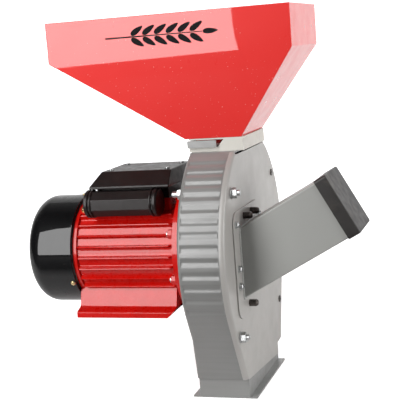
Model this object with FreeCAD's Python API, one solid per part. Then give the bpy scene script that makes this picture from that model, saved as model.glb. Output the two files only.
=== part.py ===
"""Grain and cob hammer mill: an electric motor, a swing-hammer rotor in a sheet chamber, a feed
hopper with a sliding gate on top, a cob chute on the removable cover and a discharge below.

Frame: +X along the rotor shaft, from the motor to the cover; +Z up; Y across the mill.
The origin is the centre of the discharge flange's underside. Millimetres.
"""
import FreeCAD, Part

import math
import os

from FreeCAD import Vector as V

# ---- driving dimensions ------------------------------------------------------------------------
AXIS_Z = 202.3          # height of the rotor shaft over the discharge flange

SHEET = 3.0             # wall of the chamber
CHAMBER_R = 161.5       # outside radius of the drum
CHAMBER_BACK = -30.0    # rear face of the back wall
CHAMBER_FRONT = 34.6    # front rim of the drum
CHAMBER_TOP = 347.0     # the drum is cut flat here, under the hopper collar
SKIRT_Z = 28.0          # the drum's sides run down to this height
NEAR_FOOT_Y = -90.0     # where the near side reaches SKIRT_Z
FAR_FOOT_Y = 109.5      # where the far side reaches SKIRT_Z
FLUTE_PITCH = 6.4       # degrees between the pressed flutes
FLUTE_FIRST = 35.5      # angle of the first flute from the top
FLUTE_COUNTS = (11, 13) # flutes on the far and near side, down to where the walls turn straight
FLUTE_WIDTH = 9.0
FLUTE_DEPTH = 1.6
FLUTE_X = (-26.0, 28.4)
BOSS_R = 6.5            # pillars that the cover's fasteners screw into

OUTLET_X = 36.6         # half size of the discharge box along the shaft
OUTLET_Y = 87.4         # half size of the discharge box across the mill
OUTLET_T = 2.0
LIP_X = 46.8            # outer edge of the discharge flange's lips
LIP_T = 2.5

SHAFT_BORE_R = 30.0     # hole in the back wall
FLANGE_BOLT_R = 86.0    # radius of the circle of bolts between motor and chamber
FLANGE_BOLTS = 8

SIEVE_R = 137.0         # inside radius of the screen
SIEVE_T = 1.5
SIEVE_ARC = (170.0, 370.0)
SIEVE_HOLE_R = 3.0

PIN_R = 5.0             # radius of a hammer pin
PIN_CIRCLE_R = 62.0
DISC_R = 78.0
DISC_T = 4.0
DISC_BACK_X = -17.0     # rear faces of the two rotor discs
DISC_FRONT_X = 19.0
HAMMER_T = 3.0
HAMMER_W = 24.0
HAMMER_REACH = 66.0     # pin centre to the hammer's tip
HAMMER_PITCH = 8.7
RUNNING = 0.1           # radial clearance of a running fit
PIN_ANGLES = (45.0, 135.0, 225.0, 315.0)
KNIFE_ANGLES = (0.0, 180.0)

FRAME_BACK = -221.0     # motor frame, ends
FRAME_FRONT = -60.0
FRAME_R = 71.0
FRAME_BORE = 64.0
END_RING_R = 74.0
FIN_R = 79.0
FIN_STEP = 12.0
FIN_FIRST = -47.0       # angle of the lowest fin on the far side
FIN_LAST = 222.0
FIN_GAP = (58.0, 122.0) # no fins under the terminal box
FOOT_Z = 112.3          # underside of the feet, 90 under the shaft
FOOT_HOLE_X = (-210.0, -85.0)
FOOT_HOLE_Y = 70.0
FOOT_HOLE_R = 5.0
TIE_ROD_R = 2.5
TIE_ROD_CIRCLE_R = 67.6
TIE_ROD_ANGLES = (-40.0, 45.0, 135.0, 220.0)
EARTH_AT = (-209.0, -42.0, AXIS_Z + 62.5)
EARTH_BOSS_R = 6.5

REAR_BEARING = (-231.0, -217.0, 10.0, 23.5)   # two ends along the shaft, bore, outside radius
FRONT_BEARING = (-52.0, -37.0, 12.5, 26.0)
SHAFT_END = -277.0
FAN_X = (-272.0, -240.0)
FAN_CLIP_X = (-273.7, -272.3)

COWL_R = 81.0
COWL_BACK = -297.2
COWL_T = 1.6
COWL_ROUND = 26.0
COWL_SCREW_ANGLES = (90.0, 209.0, 331.0)
COWL_SCREW_X = FRAME_BACK - 4.6

BOX_X = (-187.0, -76.0)
LID_Z = (300.0, 323.0)
LID_LOW = ((-188.0, -66.0), (-68.0, 68.0))    # outline of the lid's lower edge
LID_HIGH = ((-175.0, -68.0), (-47.0, 47.0))
LID_SCREW_XY = ((-165.0, -33.0), (-165.0, 33.0), (-78.0, -33.0), (-78.0, 33.0))
CAP_HOUSE_X = (-194.0, -81.0)
CAP_HOUSE_YZ = (-64.0, 279.0)
CAP_HOUSE_R = 19.4      # over the flats' corners
CAP_RING_R = 20.5
ROCKER_PIVOT = (-124.0, 65.0, 281.0)

HOPPER_TOP = 540.0
HOPPER_FOLD = 483.4
HOPPER_BASE = 365.7
HOPPER_RIM_X = (-223.7, 126.9)
HOPPER_RIM_Y = 85.8
HOPPER_NECK_X = (-38.5, 42.7)
HOPPER_NECK_Y = 60.5
HOPPER_T = 1.5

COLLAR_X = (-33.3, 44.6)
COLLAR_Y = 60.0
COLLAR_BASE = CHAMBER_TOP
THROAT_X = (-27.0, 4.5)
THROAT_Y = 46.0
GATE_Z = 353.2
GATE_T = 2.0

COVER_BACK = 29.6       # the cover's lip laps over the drum as far as this
COVER_FACE = 37.6
COVER_T = 2.5
COVER_GAP = 0.5         # drum to cover lip
COVER_LIP = 2.6
COVER_ROUND = 4.6
COVER_FOOT = (28.2, 11.0)   # height of the cover's lower edge at the near and far side
UPPER_STUD = (-112.0, 296.0)
LOWER_STUD = (-117.0, 98.0)
STUD_YZ = (UPPER_STUD, LOWER_STUD)
SCREW_YZ = ((115.0, 292.0), (115.0, 91.0))

CHUTE_ANGLE = 28.9      # slope of the cob chute
CHUTE_Y = (-92.5, -4.8)
CHUTE_Z = 145.5         # underside of the chute, measured at the plate's face
CHUTE_H = 86.3
CHUTE_T = 2.0
CHUTE_LENGTH = 184.2
CAP_T = 1.5
CAP_DEPTH = 15.0
PLATE_T = 2.0
PLATE_Y = (-120.0, 20.0)
PLATE_Z = (120.0, 268.0)
CHUTE_SCREWS = (
    (-108.0, 251.5),
    (-108.0, 190.5),
    (-108.0, 166.5),
    (9.0, 249.0),
    (9.0, 164.0),
)
CHUTE_BOLTS = ((-66.0, 257.5), (-28.0, 257.5), (-66.0, 133.0))

AXIS_X = V(1, 0, 0)
NODES = {}


# ---- small helpers -----------------------------------------------------------------------------
def box(x, y, z):
    """A block from three (low, high) pairs."""
    return Part.makeBox(x[1] - x[0], y[1] - y[0], z[1] - z[0], V(x[0], y[0], z[0]))


def rod(r, x0, x1, y=0.0, z=0.0):
    """A cylinder along X, with y and z measured from the shaft's axis."""
    return Part.makeCylinder(r, x1 - x0, V(x0, y, AXIS_Z + z), AXIS_X)


def ring(r_in, r_out, x0, x1, y=0.0, z=0.0):
    return rod(r_out, x0, x1, y, z).cut(rod(r_in, x0, x1, y, z))


def hexagon(across, x0, x1, y, z):
    """A hexagonal bar along X at absolute y, z."""
    r = across / math.sqrt(3)
    points = [
        V(x0, y + r * math.cos(math.radians(60 * k)), z + r * math.sin(math.radians(60 * k)))
        for k in range(7)
    ]
    return Part.Face(Part.makePolygon(points)).extrude(V(x1 - x0, 0, 0))


def plate_yz(points, x0, x1):
    """A prism along X over an outline of (y, z) points."""
    loop = [V(x0, y, z) for y, z in points]
    return Part.Face(Part.makePolygon(loop + loop[:1])).extrude(V(x1 - x0, 0, 0))


def plate_xz(points, y0, y1):
    """A prism along Y over an outline of (x, z) points."""
    loop = [V(x, y0, z) for x, z in points]
    return Part.Face(Part.makePolygon(loop + loop[:1])).extrude(V(0, y1 - y0, 0))


def turned(profile):
    """A solid turned about the shaft's axis from an outline of (x, radius) points."""
    loop = [V(x, 0, AXIS_Z + r) for x, r in profile]
    face = Part.Face(Part.makePolygon(loop + loop[:1]))
    return face.revolve(V(0, 0, AXIS_Z), AXIS_X, 360)


def rounded_block(x, y, z, r, along):
    """A block whose four edges along one axis are rounded."""
    block = box(x, y, z)
    edges = [
        e
        for e in block.Edges
        if abs((e.Vertexes[1].Point - e.Vertexes[0].Point).normalize().dot(along)) > 0.99
    ]
    return block.makeFillet(r, edges)


def fuse(shapes):
    return shapes[0].multiFuse(shapes[1:]) if len(shapes) > 1 else shapes[0]


def group(shapes):
    return Part.makeCompound(shapes)


def add(name, shape):
    NODES[name] = shape


def polar(angle, r):
    """(y, z from the axis) at an angle from +Y towards +Z."""
    return r * math.cos(math.radians(angle)), r * math.sin(math.radians(angle))


# ---- chamber -----------------------------------------------------------------------------------
def drum_outline(grow):
    """(start angle, end angle, straight points) of the chamber's outline, grown by an offset.

    The side walls leave the drum tangentially and run down to the discharge.
    """
    r = CHAMBER_R + grow
    foot = SKIRT_Z - AXIS_Z
    ends = []
    for side, foot_y in ((-1, NEAR_FOOT_Y - grow), (1, FAR_FOOT_Y + grow)):
        reach = math.hypot(foot_y, foot)
        lean = math.asin(r / reach) - math.atan2(abs(foot_y), -foot)
        run = math.sqrt(reach**2 - r**2)
        touch = (foot_y + side * run * math.sin(lean), foot + run * math.cos(lean))
        ends.append((foot_y, touch))
    return r, ends


def drum_solid(grow, x0, x1, top, bottom):
    """The chamber's outline as a solid along X, between two heights."""
    r, ends = drum_outline(grow)
    half_flat = math.sqrt(r**2 - (top - AXIS_Z) ** 2)
    (near_y, near), (far_y, far) = ends

    def at(y, z):
        return V(x0, y, AXIS_Z + z)

    flat_z = top - AXIS_Z
    near_mid = polar(165, r)
    far_mid = polar(15, r)
    edges = [
        Part.makeLine(at(half_flat, flat_z), at(-half_flat, flat_z)),
        Part.Arc(at(-half_flat, flat_z), at(*near_mid), at(*near)).toShape(),
        Part.makeLine(at(*near), at(near_y, SKIRT_Z - AXIS_Z)),
    ]
    low_near = at(near_y, SKIRT_Z - AXIS_Z)
    low_far = at(far_y, SKIRT_Z - AXIS_Z)
    if bottom < SKIRT_Z:
        corners = [
            low_near,
            at(-OUTLET_Y - grow, bottom - AXIS_Z),
            at(OUTLET_Y + grow, bottom - AXIS_Z),
            low_far,
        ]
    else:
        corners = [low_near, low_far]
    edges += [Part.makeLine(a, b) for a, b in zip(corners, corners[1:])]
    edges += [
        Part.makeLine(low_far, at(*far)),
        Part.Arc(at(*far), at(*far_mid), at(half_flat, flat_z)).toShape(),
    ]
    return Part.Face(Part.Wire(edges)).extrude(V(x1 - x0, 0, 0))


def back_ramp(grow):
    """The lower back wall leans out to the discharge box."""
    lean = [
        (CHAMBER_BACK + 1, 102.0 + grow),
        (-OUTLET_X - grow, SKIRT_Z),
        (CHAMBER_BACK + 1, SKIRT_Z),
    ]
    wedge = plate_xz(lean, -150, 150)
    return wedge.common(drum_solid(grow, -60, 0, CHAMBER_TOP, SKIRT_Z))


def chamber_shell():
    """Pressed pan: back wall, fluted drum and skirt, open at the front and below."""
    body = drum_solid(0, CHAMBER_BACK, CHAMBER_FRONT, CHAMBER_TOP, SKIRT_Z)
    rim = [
        e
        for e in body.Edges
        if all(abs(v.X - CHAMBER_BACK) < 1e-6 for v in e.Vertexes)
        and e.CenterOfMass.z > SKIRT_Z + 5
        and e.CenterOfMass.z < CHAMBER_TOP - 1
    ]
    body = body.makeFillet(5.0, rim)
    body = body.fuse(back_ramp(0))
    hollow = drum_solid(
        -SHEET, CHAMBER_BACK + SHEET, CHAMBER_FRONT + 1, CHAMBER_TOP - SHEET, SKIRT_Z
    )
    hollow = hollow.fuse(back_ramp(-SHEET))
    hollow = hollow.fuse(
        box(
            (CHAMBER_BACK + SHEET, CHAMBER_FRONT + 1),
            (-OUTLET_Y + 2, OUTLET_Y - 2),
            (SKIRT_Z - 1, SKIRT_Z + 5),
        )
    )
    shell = body.cut(hollow)
    bosses = []
    for y, z in STUD_YZ + SCREW_YZ:
        bosses.append(rod(BOSS_R, CHAMBER_BACK + 1, CHAMBER_FRONT, y, z - AXIS_Z))
    outer = drum_solid(0, CHAMBER_BACK, CHAMBER_FRONT, CHAMBER_TOP, SKIRT_Z)
    shell = shell.fuse([b.common(outer) for b in bosses])
    holes = [rod(SHAFT_BORE_R, CHAMBER_BACK - 1, CHAMBER_BACK + SHEET + 1)]
    for k in range(FLANGE_BOLTS):
        y, z = polar(22.5 + 45 * k, FLANGE_BOLT_R)
        holes.append(rod(4.2, CHAMBER_BACK - 1, CHAMBER_BACK + SHEET + 1, y, z))
    for y, z in STUD_YZ + SCREW_YZ:
        holes.append(rod(4.0, CHAMBER_FRONT - 22, CHAMBER_FRONT + 1, y, z - AXIS_Z))
    holes.append(rod(4.0, CHAMBER_BACK - 1, 0, UPPER_STUD[0], UPPER_STUD[1] - AXIS_Z))
    holes.append(rod(4.0, -1, CHAMBER_FRONT, UPPER_STUD[0], UPPER_STUD[1] - AXIS_Z))
    holes.append(
        box(THROAT_X, (-THROAT_Y, THROAT_Y), (CHAMBER_TOP - SHEET - 2, CHAMBER_TOP + 1))
    )
    return shell.cut(group(holes)).cut(group(flutes()))


def flutes():
    """Pressed hollows along X around both sides of the drum."""
    cutters = []
    proto = rounded_block(
        FLUTE_X,
        (-FLUTE_WIDTH / 2, FLUTE_WIDTH / 2),
        (AXIS_Z + CHAMBER_R - FLUTE_DEPTH, AXIS_Z + CHAMBER_R + 4),
        3.0,
        V(0, 0, 1),
    )
    for side, count in zip((-1, 1), FLUTE_COUNTS):
        for k in range(count):
            cutter = proto.copy()
            cutter.rotate(V(0, 0, AXIS_Z), AXIS_X, side * (FLUTE_FIRST + FLUTE_PITCH * k))
            cutters.append(cutter)
    return cutters


def discharge_flange():
    """Sleeve under the chamber, with a lip in front and behind that slides onto rails."""
    sleeve = box((-OUTLET_X, OUTLET_X), (-OUTLET_Y, OUTLET_Y), (0, SKIRT_Z))
    lips = box((-LIP_X, LIP_X), (-OUTLET_Y, OUTLET_Y), (0, LIP_T))
    hole = box(
        (-OUTLET_X + OUTLET_T, OUTLET_X - OUTLET_T),
        (-OUTLET_Y + OUTLET_T, OUTLET_Y - OUTLET_T),
        (-1, SKIRT_Z + 1),
    )
    shelf = box(
        (CHAMBER_BACK, CHAMBER_FRONT), (OUTLET_Y - 2, FAR_FOOT_Y), (SKIRT_Z - 2.5, SKIRT_Z)
    )
    under_cover = foot_wedge(0.2, OUTLET_X - OUTLET_T - 0.05, OUTLET_X + 1)
    return sleeve.fuse([lips, shelf]).cut(hole).cut(under_cover)


def foot_wedge(clearance, x0, x1):
    """The part of the discharge's front wall that the cover's lower edge hangs over."""
    near, far = COVER_FOOT
    edge = OUTLET_Y + clearance
    points = [
        (-edge, near - clearance),
        (edge, far - clearance),
        (edge, SKIRT_Z + 1),
        (-edge, SKIRT_Z + 1),
    ]
    return plate_yz(points, x0, x1)


def sector(a0, a1, r, x0, x1):
    """A pie slice about the shaft, for cutting rings to an arc."""
    steps = max(2, int((a1 - a0) / 20))
    rim = [polar(a0 + (a1 - a0) * k / steps, r) for k in range(steps + 1)]
    return plate_yz([(0, AXIS_Z)] + [(y, AXIS_Z + z) for y, z in rim], x0, x1)


def sieve():
    """Perforated screen, an arc under and beside the hammers."""
    x0, x1 = CHAMBER_BACK + SHEET + 0.3, CHAMBER_FRONT - 0.2
    screen = ring(SIEVE_R, SIEVE_R + SIEVE_T, x0, x1)
    screen = screen.common(sector(*SIEVE_ARC, 200, x0 - 1, x1 + 1))
    holes = []
    rows = 5
    for row in range(rows):
        x = x0 + 8 + row * (x1 - x0 - 16) / (rows - 1)
        for k in range(42):
            angle = SIEVE_ARC[0] + 6 + 4.6 * k + (2.3 if row % 2 else 0)
            if angle > SIEVE_ARC[1] - 5:
                continue
            y, z = polar(angle, 1)
            holes.append(
                Part.makeCylinder(
                    SIEVE_HOLE_R, 8, V(x, y * (SIEVE_R - 3), AXIS_Z + z * (SIEVE_R - 3)), V(0, y, z)
                )
            )
    return screen.cut(group(holes))


def sieve_rail():
    x0 = CHAMBER_BACK + SHEET
    rail = ring(SIEVE_R + SIEVE_T + 0.2, SIEVE_R + SIEVE_T + 2.7, x0, x0 + 7)
    return rail.common(sector(SIEVE_ARC[0] + 2, SIEVE_ARC[1] - 2, 200, x0 - 1, x0 + 8))


# ---- hopper, collar and gate -------------------------------------------------------------------
def rectangle(x, y, z):
    corners = [V(x[0], y[0], z), V(x[1], y[0], z), V(x[1], y[1], z), V(x[0], y[1], z)]
    return Part.makePolygon(corners + corners[:1])


def hopper_solid(inset):
    """The hopper's outside, or its inside when inset."""
    rim_x = (HOPPER_RIM_X[0] + inset, HOPPER_RIM_X[1] - inset)
    rim_y = (-HOPPER_RIM_Y + inset, HOPPER_RIM_Y - inset)
    neck_x = (HOPPER_NECK_X[0] + inset * 1.6, HOPPER_NECK_X[1] - inset * 1.6)
    neck_y = (-HOPPER_NECK_Y + inset, HOPPER_NECK_Y - inset)
    top = HOPPER_TOP + inset
    upper = box(rim_x, rim_y, (HOPPER_FOLD, top))
    lower = Part.makeLoft(
        [rectangle(neck_x, neck_y, HOPPER_BASE), rectangle(rim_x, rim_y, HOPPER_FOLD)], True
    )
    return upper.fuse(lower)


def hopper():
    """Folded sheet hopper with a hemmed rim, a bolted floor and a skirt inside the collar."""
    shell = hopper_solid(0).cut(hopper_solid(HOPPER_T))
    floor = box(
        (HOPPER_NECK_X[0] + 1, HOPPER_NECK_X[1] - 1),
        (-HOPPER_NECK_Y + 0.6, HOPPER_NECK_Y - 0.6),
        (HOPPER_BASE, HOPPER_BASE + HOPPER_T),
    )
    mouth = box((THROAT_X[0], 36.0), (-THROAT_Y, THROAT_Y), (HOPPER_BASE - 1, HOPPER_BASE + 3))
    hem = box(
        (HOPPER_RIM_X[0], HOPPER_RIM_X[1]),
        (-HOPPER_RIM_Y, HOPPER_RIM_Y),
        (HOPPER_TOP - 12, HOPPER_TOP),
    ).cut(
        box(
            (HOPPER_RIM_X[0] + 3, HOPPER_RIM_X[1] - 3),
            (-HOPPER_RIM_Y + 3, HOPPER_RIM_Y - 3),
            (HOPPER_TOP - 13, HOPPER_TOP + 1),
        )
    )
    bolt_holes = [
        Part.makeCylinder(3.2, 10, V(x, y, HOPPER_BASE - 4)) for x, y in hopper_bolt_places()
    ]
    skirt_profile = [
        (THROAT_X[0], HOPPER_BASE),
        (36.0, HOPPER_BASE),
        (9.0, 357.0),
        (THROAT_X[0], 357.0),
    ]
    skirts = [
        plate_xz(skirt_profile, y, y + HOPPER_T)
        for y in (-THROAT_Y - HOPPER_T, THROAT_Y)
    ]
    body = shell.fuse([floor, hem]).cut(group([mouth] + bolt_holes))
    return body.fuse(skirts)


def hopper_bolt_places():
    return [(x, y) for x in (-30.2, 40.3) for y in (-53.0, 53.0)]


def hopper_bolts():
    bolts = []
    for x, y in hopper_bolt_places():
        floor = HOPPER_BASE + HOPPER_T
        shank = Part.makeCylinder(3.0, 10.4, V(x, y, floor - 10.4))
        head = Part.makeCylinder(2.8, 2.4, V(x, y, floor))
        bolts.append(shank.fuse(head))
    return group(bolts)


def hopper_collar():
    """Cast throat piece between hopper and drum, with the slot that the gate slides in."""
    body = box(COLLAR_X, (-COLLAR_Y, COLLAR_Y), (COLLAR_BASE, HOPPER_BASE))
    throat = box(THROAT_X, (-THROAT_Y, THROAT_Y), (COLLAR_BASE - 1, HOPPER_BASE + 1))
    funnel = plate_xz(
        [
            (THROAT_X[0] - 0.2, HOPPER_BASE + 1),
            (40.0, HOPPER_BASE + 1),
            (9.0, GATE_Z + 2.9),
            (THROAT_X[0] - 0.2, GATE_Z + 2.9),
        ],
        -THROAT_Y - HOPPER_T - 0.2,
        THROAT_Y + HOPPER_T + 0.2,
    )
    slot = box((-31.0, 8.0), (-COLLAR_Y - 1, 52.0), (GATE_Z - 0.3, GATE_Z + GATE_T + 0.3))
    window = plate_xz(
        [
            (COLLAR_X[0] - 1, 363.6),
            (17.0, 363.6),
            (7.6, GATE_Z - 0.3),
            (COLLAR_X[0] - 1, GATE_Z - 0.3),
        ],
        -COLLAR_Y - 1,
        -THROAT_Y - 1.0,
    )
    bolt_holes = [
        Part.makeCylinder(3.2, 12, V(x, y, HOPPER_BASE - 9.4)) for x, y in hopper_bolt_places()
    ]
    return body.cut(group([throat])).cut(funnel).cut(slot).cut(window).cut(group(bolt_holes))


def gate():
    """Flat shutter with a turned-up grip outside the collar."""
    blade = box((-30.6, 7.6), (-COLLAR_Y - 3.5, 51.0), (GATE_Z, GATE_Z + GATE_T))
    lip = box((-34.3, 7.6), (-COLLAR_Y - 5.5, -COLLAR_Y - 3.5), (GATE_Z, 363.2))
    return blade.fuse(lip)


# ---- motor -------------------------------------------------------------------------------------
def motor_frame():
    """Finned frame with integral feet and a pad for the terminal box."""
    barrel = rod(FRAME_R, FRAME_BACK, FRAME_FRONT)
    parts = []
    for x0, x1 in ((FRAME_BACK, FRAME_BACK + 7), (FRAME_FRONT - 7, FRAME_FRONT)):
        parts.append(rod(END_RING_R, x0, x1))
    angle = FIN_FIRST
    while angle <= FIN_LAST:
        if not FIN_GAP[0] < angle < FIN_GAP[1]:
            fin = plate_xz(
                [
                    (FRAME_BACK + 5, AXIS_Z + FRAME_R - 2),
                    (FRAME_FRONT - 5, AXIS_Z + FRAME_R - 2),
                    (FRAME_FRONT - 8, AXIS_Z + FIN_R),
                    (FRAME_BACK + 8, AXIS_Z + FIN_R),
                ],
                -1.4,
                1.4,
            )
            fin.rotate(V(0, 0, AXIS_Z), AXIS_X, angle - 90)
            parts.append(fin)
        angle += FIN_STEP
    parts.append(box((-190, -76), (-40, 40), (AXIS_Z + 55, AXIS_Z + FIN_R)))
    pedestal = plate_yz(
        [
            (-57, 152),
            (-63, 127),
            (-78, 121),
            (-78, FOOT_Z),
            (-46, FOOT_Z),
            (-46, 124),
            (46, 124),
            (46, FOOT_Z),
            (78, FOOT_Z),
            (78, 121),
            (63, 127),
            (57, 152),
        ],
        FRAME_BACK,
        -70,
    )
    nose = plate_xz(
        [(-80, FOOT_Z - 1), (-70, 122), (-60, 122), (-60, FOOT_Z - 1)], -80, 80
    )
    earth = V(*EARTH_AT)
    parts.append(Part.makeCylinder(EARTH_BOSS_R, 9.0, earth - earth_axis() * 7.1, earth_axis()))
    frame = barrel.fuse(parts + [pedestal.cut(nose)])
    holes = [rod(FRAME_BORE, FRAME_BACK - 1, FRAME_FRONT + 1)]
    for x in FOOT_HOLE_X:
        for y in (-FOOT_HOLE_Y, FOOT_HOLE_Y):
            holes.append(Part.makeCylinder(FOOT_HOLE_R, 30, V(x, y, FOOT_Z - 1)))
    holes.append(Part.makeCylinder(8, 30, V(-150, 0, AXIS_Z + 56)))
    holes.append(Part.makeCylinder(2.5, 10.5, earth + earth_axis() * 2, earth_axis().negative()))
    for y, z in tie_rod_places():
        holes.append(rod(2.6, FRAME_BACK - 1, FRAME_FRONT + 1, y, z))
    return frame.cut(group(holes))


def earth_axis():
    return V(0, EARTH_AT[1], EARTH_AT[2] - AXIS_Z).normalize()


def earth_screw():
    axis = earth_axis()
    base = V(*EARTH_AT) + axis * 1.9
    washer = Part.makeCylinder(4.6, 1.2, base, axis)
    head = Part.makeCylinder(3.6, 4.2, base + axis * 1.2, axis)
    shank = Part.makeCylinder(2.4, 8.0, base, axis.negative())
    return washer.fuse([head, shank])


def tie_rod_places():
    return [polar(a, TIE_ROD_CIRCLE_R) for a in TIE_ROD_ANGLES]


def tie_rods():
    rods = []
    for y, z in tie_rod_places():
        long_bolt = rod(TIE_ROD_R, FRAME_BACK - 10.5, FRAME_FRONT + 12, y, z)
        head = hexagon(8.0, FRAME_BACK - 14.0, FRAME_BACK - 10.0, y, AXIS_Z + z)
        rods.append(long_bolt.fuse(head))
    return group(rods)


def stator_core():
    core = ring(38.6, FRAME_BORE, -190, -100)
    slots = []
    for k in range(24):
        slot = box((-191, -99), (-2.0, 2.0), (AXIS_Z + 40.6, AXIS_Z + 55.0))
        slot.rotate(V(0, 0, AXIS_Z), AXIS_X, 15 * k)
        slots.append(slot)
    return core.cut(group(slots))


def stator_winding():
    """Copper in the slots, with a rounded bundle at each end of the core."""
    ends = []
    for x0, x1 in ((-210.0, -190.0), (-100.0, -80.0)):
        bundle = ring(42.0, 58.0, x0, x1)
        ends.append(bundle.makeFillet(5.0, [e for e in bundle.Edges if len(e.Vertexes) == 1]))
    bars = []
    for k in range(24):
        bar = box((-190.0, -100.0), (-1.7, 1.7), (AXIS_Z + 44.0, AXIS_Z + 54.6))
        bar.rotate(V(0, 0, AXIS_Z), AXIS_X, 15 * k)
        bars.append(bar)
    return ends[0].fuse([ends[1]] + bars)


def bearing_outer(x0, x1, r_in, r_out):
    race = (r_in + r_out) / 2
    ball = (r_out - r_in) * 0.3
    groove = Part.makeTorus(race, ball, V((x0 + x1) / 2, 0, AXIS_Z), AXIS_X)
    return ring(r_out - (r_out - r_in) * 0.3, r_out, x0, x1).cut(groove)


def bearing_inner(x0, x1, r_in, r_out):
    race = (r_in + r_out) / 2
    ball = (r_out - r_in) * 0.3
    groove = Part.makeTorus(race, ball, V((x0 + x1) / 2, 0, AXIS_Z), AXIS_X)
    return ring(r_in, r_in + (r_out - r_in) * 0.3, x0, x1).cut(groove)


def bearing_balls():
    balls = []
    for x0, x1, r_in, r_out in (REAR_BEARING, FRONT_BEARING):
        race = (r_in + r_out) / 2
        radius = (r_out - r_in) * 0.3 - 0.08
        for k in range(8):
            y, z = polar(45 * k, race)
            balls.append(Part.makeSphere(radius, V((x0 + x1) / 2, y, AXIS_Z + z)))
    return group(balls)


def rear_shield():
    """Rear end shield, spigoted into the frame, carrying the rear bearing."""
    x0, x1, _, seat = REAR_BEARING
    shield = turned(
        [
            (FRAME_BACK, 74.0),
            (FRAME_BACK - 8, 74.0),
            (FRAME_BACK - 10, 60.0),
            (x0 - 2, seat + 7),
            (x0 - 2, 12.5),
            (x0, 12.5),
            (x0, seat),
            (x1, seat),
            (x1, seat + 7),
            (FRAME_BACK + 2.5, 40.0),
            (FRAME_BACK + 2.5, 55.0),
            (FRAME_BACK + 6, 58.5),
            (FRAME_BACK + 6, FRAME_BORE),
            (FRAME_BACK, FRAME_BORE),
        ]
    )
    holes = [rod(2.6, FRAME_BACK - 12, FRAME_BACK + 8, y, z) for y, z in tie_rod_places()]
    for angle in COWL_SCREW_ANGLES:
        y, z = polar(angle, 1)
        base = V(COWL_SCREW_X, y * 60, AXIS_Z + z * 60)
        holes.append(Part.makeCylinder(2.1, 16, base, V(0, y, z)))
    return shield.cut(group(holes))


def front_shield():
    """Front end shield and mounting flange of the motor."""
    x0, x1, _, seat = FRONT_BEARING
    shield = turned(
        [
            (FRAME_FRONT, FRAME_BORE),
            (FRAME_FRONT - 6, FRAME_BORE),
            (FRAME_FRONT - 6, 58.5),
            (FRAME_FRONT - 1, 55.0),
            (FRAME_FRONT + 3, 40.0),
            (x0, seat + 8),
            (x0, seat),
            (x1, seat),
            (x1, 20.0),
            (CHAMBER_BACK - 0.4, 20.0),
            (CHAMBER_BACK - 0.4, 29.8),
            (CHAMBER_BACK, 29.8),
            (CHAMBER_BACK, 98.0),
            (CHAMBER_BACK - 4, 98.0),
            (FRAME_FRONT + 12, 95.0),
            (FRAME_FRONT, 94.0),
        ]
    )
    holes = [rod(2.6, FRAME_FRONT - 8, FRAME_FRONT + 12.5, y, z) for y, z in tie_rod_places()]
    for k in range(FLANGE_BOLTS):
        y, z = polar(22.5 + 45 * k, FLANGE_BOLT_R)
        holes.append(rod(4.2, FRAME_FRONT - 1, CHAMBER_BACK + 1, y, z))
    return shield.cut(group(holes))


def flange_bolts():
    bolts = []
    for k in range(FLANGE_BOLTS):
        y, z = polar(22.5 + 45 * k, FLANGE_BOLT_R)
        inside = CHAMBER_BACK + SHEET
        shank = rod(4.0, FRAME_FRONT - 9.8, inside, y, z)
        head = rod(6.5, inside, inside + 3.2, y, z)
        socket = hexagon(5.0, inside + 1.4, inside + 4, y, AXIS_Z + z)
        bolts.append(shank.fuse(head).cut(socket))
    return group(bolts)


def flange_nuts():
    nuts = []
    for k in range(FLANGE_BOLTS):
        y, z = polar(22.5 + 45 * k, FLANGE_BOLT_R)
        washer = rod(7.6, FRAME_FRONT - 1.4, FRAME_FRONT, y, z)
        nut = hexagon(12.6, FRAME_FRONT - 7.6, FRAME_FRONT - 1.4, y, AXIS_Z + z)
        nuts.append(washer.fuse(nut).cut(rod(4.0, FRAME_FRONT - 9, FRAME_FRONT + 1, y, z)))
    return group(nuts)


def shaft_seal():
    return ring(12.1, 19.9, FRONT_BEARING[1] + 0.4, CHAMBER_BACK - 0.6)


def cowl_profile(inset):
    """Outline of the cowl from its open edge to the middle of its back, as wire edges."""
    r = COWL_R - inset
    back = COWL_BACK + inset
    rounding = COWL_ROUND - inset
    bend_x = COWL_BACK + COWL_ROUND
    bend_r = COWL_R - COWL_ROUND
    mid = V(
        bend_x - rounding * math.sqrt(0.5), 0, AXIS_Z + bend_r + rounding * math.sqrt(0.5)
    )
    a = V(FRAME_BACK, 0, AXIS_Z + r)
    b = V(bend_x, 0, AXIS_Z + r)
    c = V(back, 0, AXIS_Z + bend_r)
    d = V(back, 0, AXIS_Z)
    e = V(FRAME_BACK, 0, AXIS_Z)
    wire = Part.Wire(
        [
            Part.makeLine(a, b),
            Part.Arc(b, mid, c).toShape(),
            Part.makeLine(c, d),
            Part.makeLine(d, e),
            Part.makeLine(e, a),
        ]
    )
    return Part.Face(wire).revolve(V(0, 0, AXIS_Z), AXIS_X, 360)


def fan_cowl():
    """Deep-drawn cowl with rings of air slots in its back."""
    shell = cowl_profile(0).cut(cowl_profile(COWL_T))
    slots = []
    for r_in, r_out, bridges in ((14, 19, 3), (24, 29, 4), (34, 39, 6), (44, 49, 8)):
        slot = ring(r_in, r_out, COWL_BACK - 1, COWL_BACK + COWL_T + 1)
        for k in range(bridges):
            bar = box((COWL_BACK - 2, COWL_BACK + 5), (-3, 3), (AXIS_Z, AXIS_Z + 60))
            bar.rotate(V(0, 0, AXIS_Z), AXIS_X, 360 / bridges * k)
            slot = slot.cut(bar)
        slots.append(slot)
    for angle in COWL_SCREW_ANGLES:
        y, z = polar(angle, 1)
        base = V(COWL_SCREW_X, y * 70, AXIS_Z + z * 70)
        slots.append(Part.makeCylinder(2.2, 16, base, V(0, y, z)))
    return shell.cut(group(slots))


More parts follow.
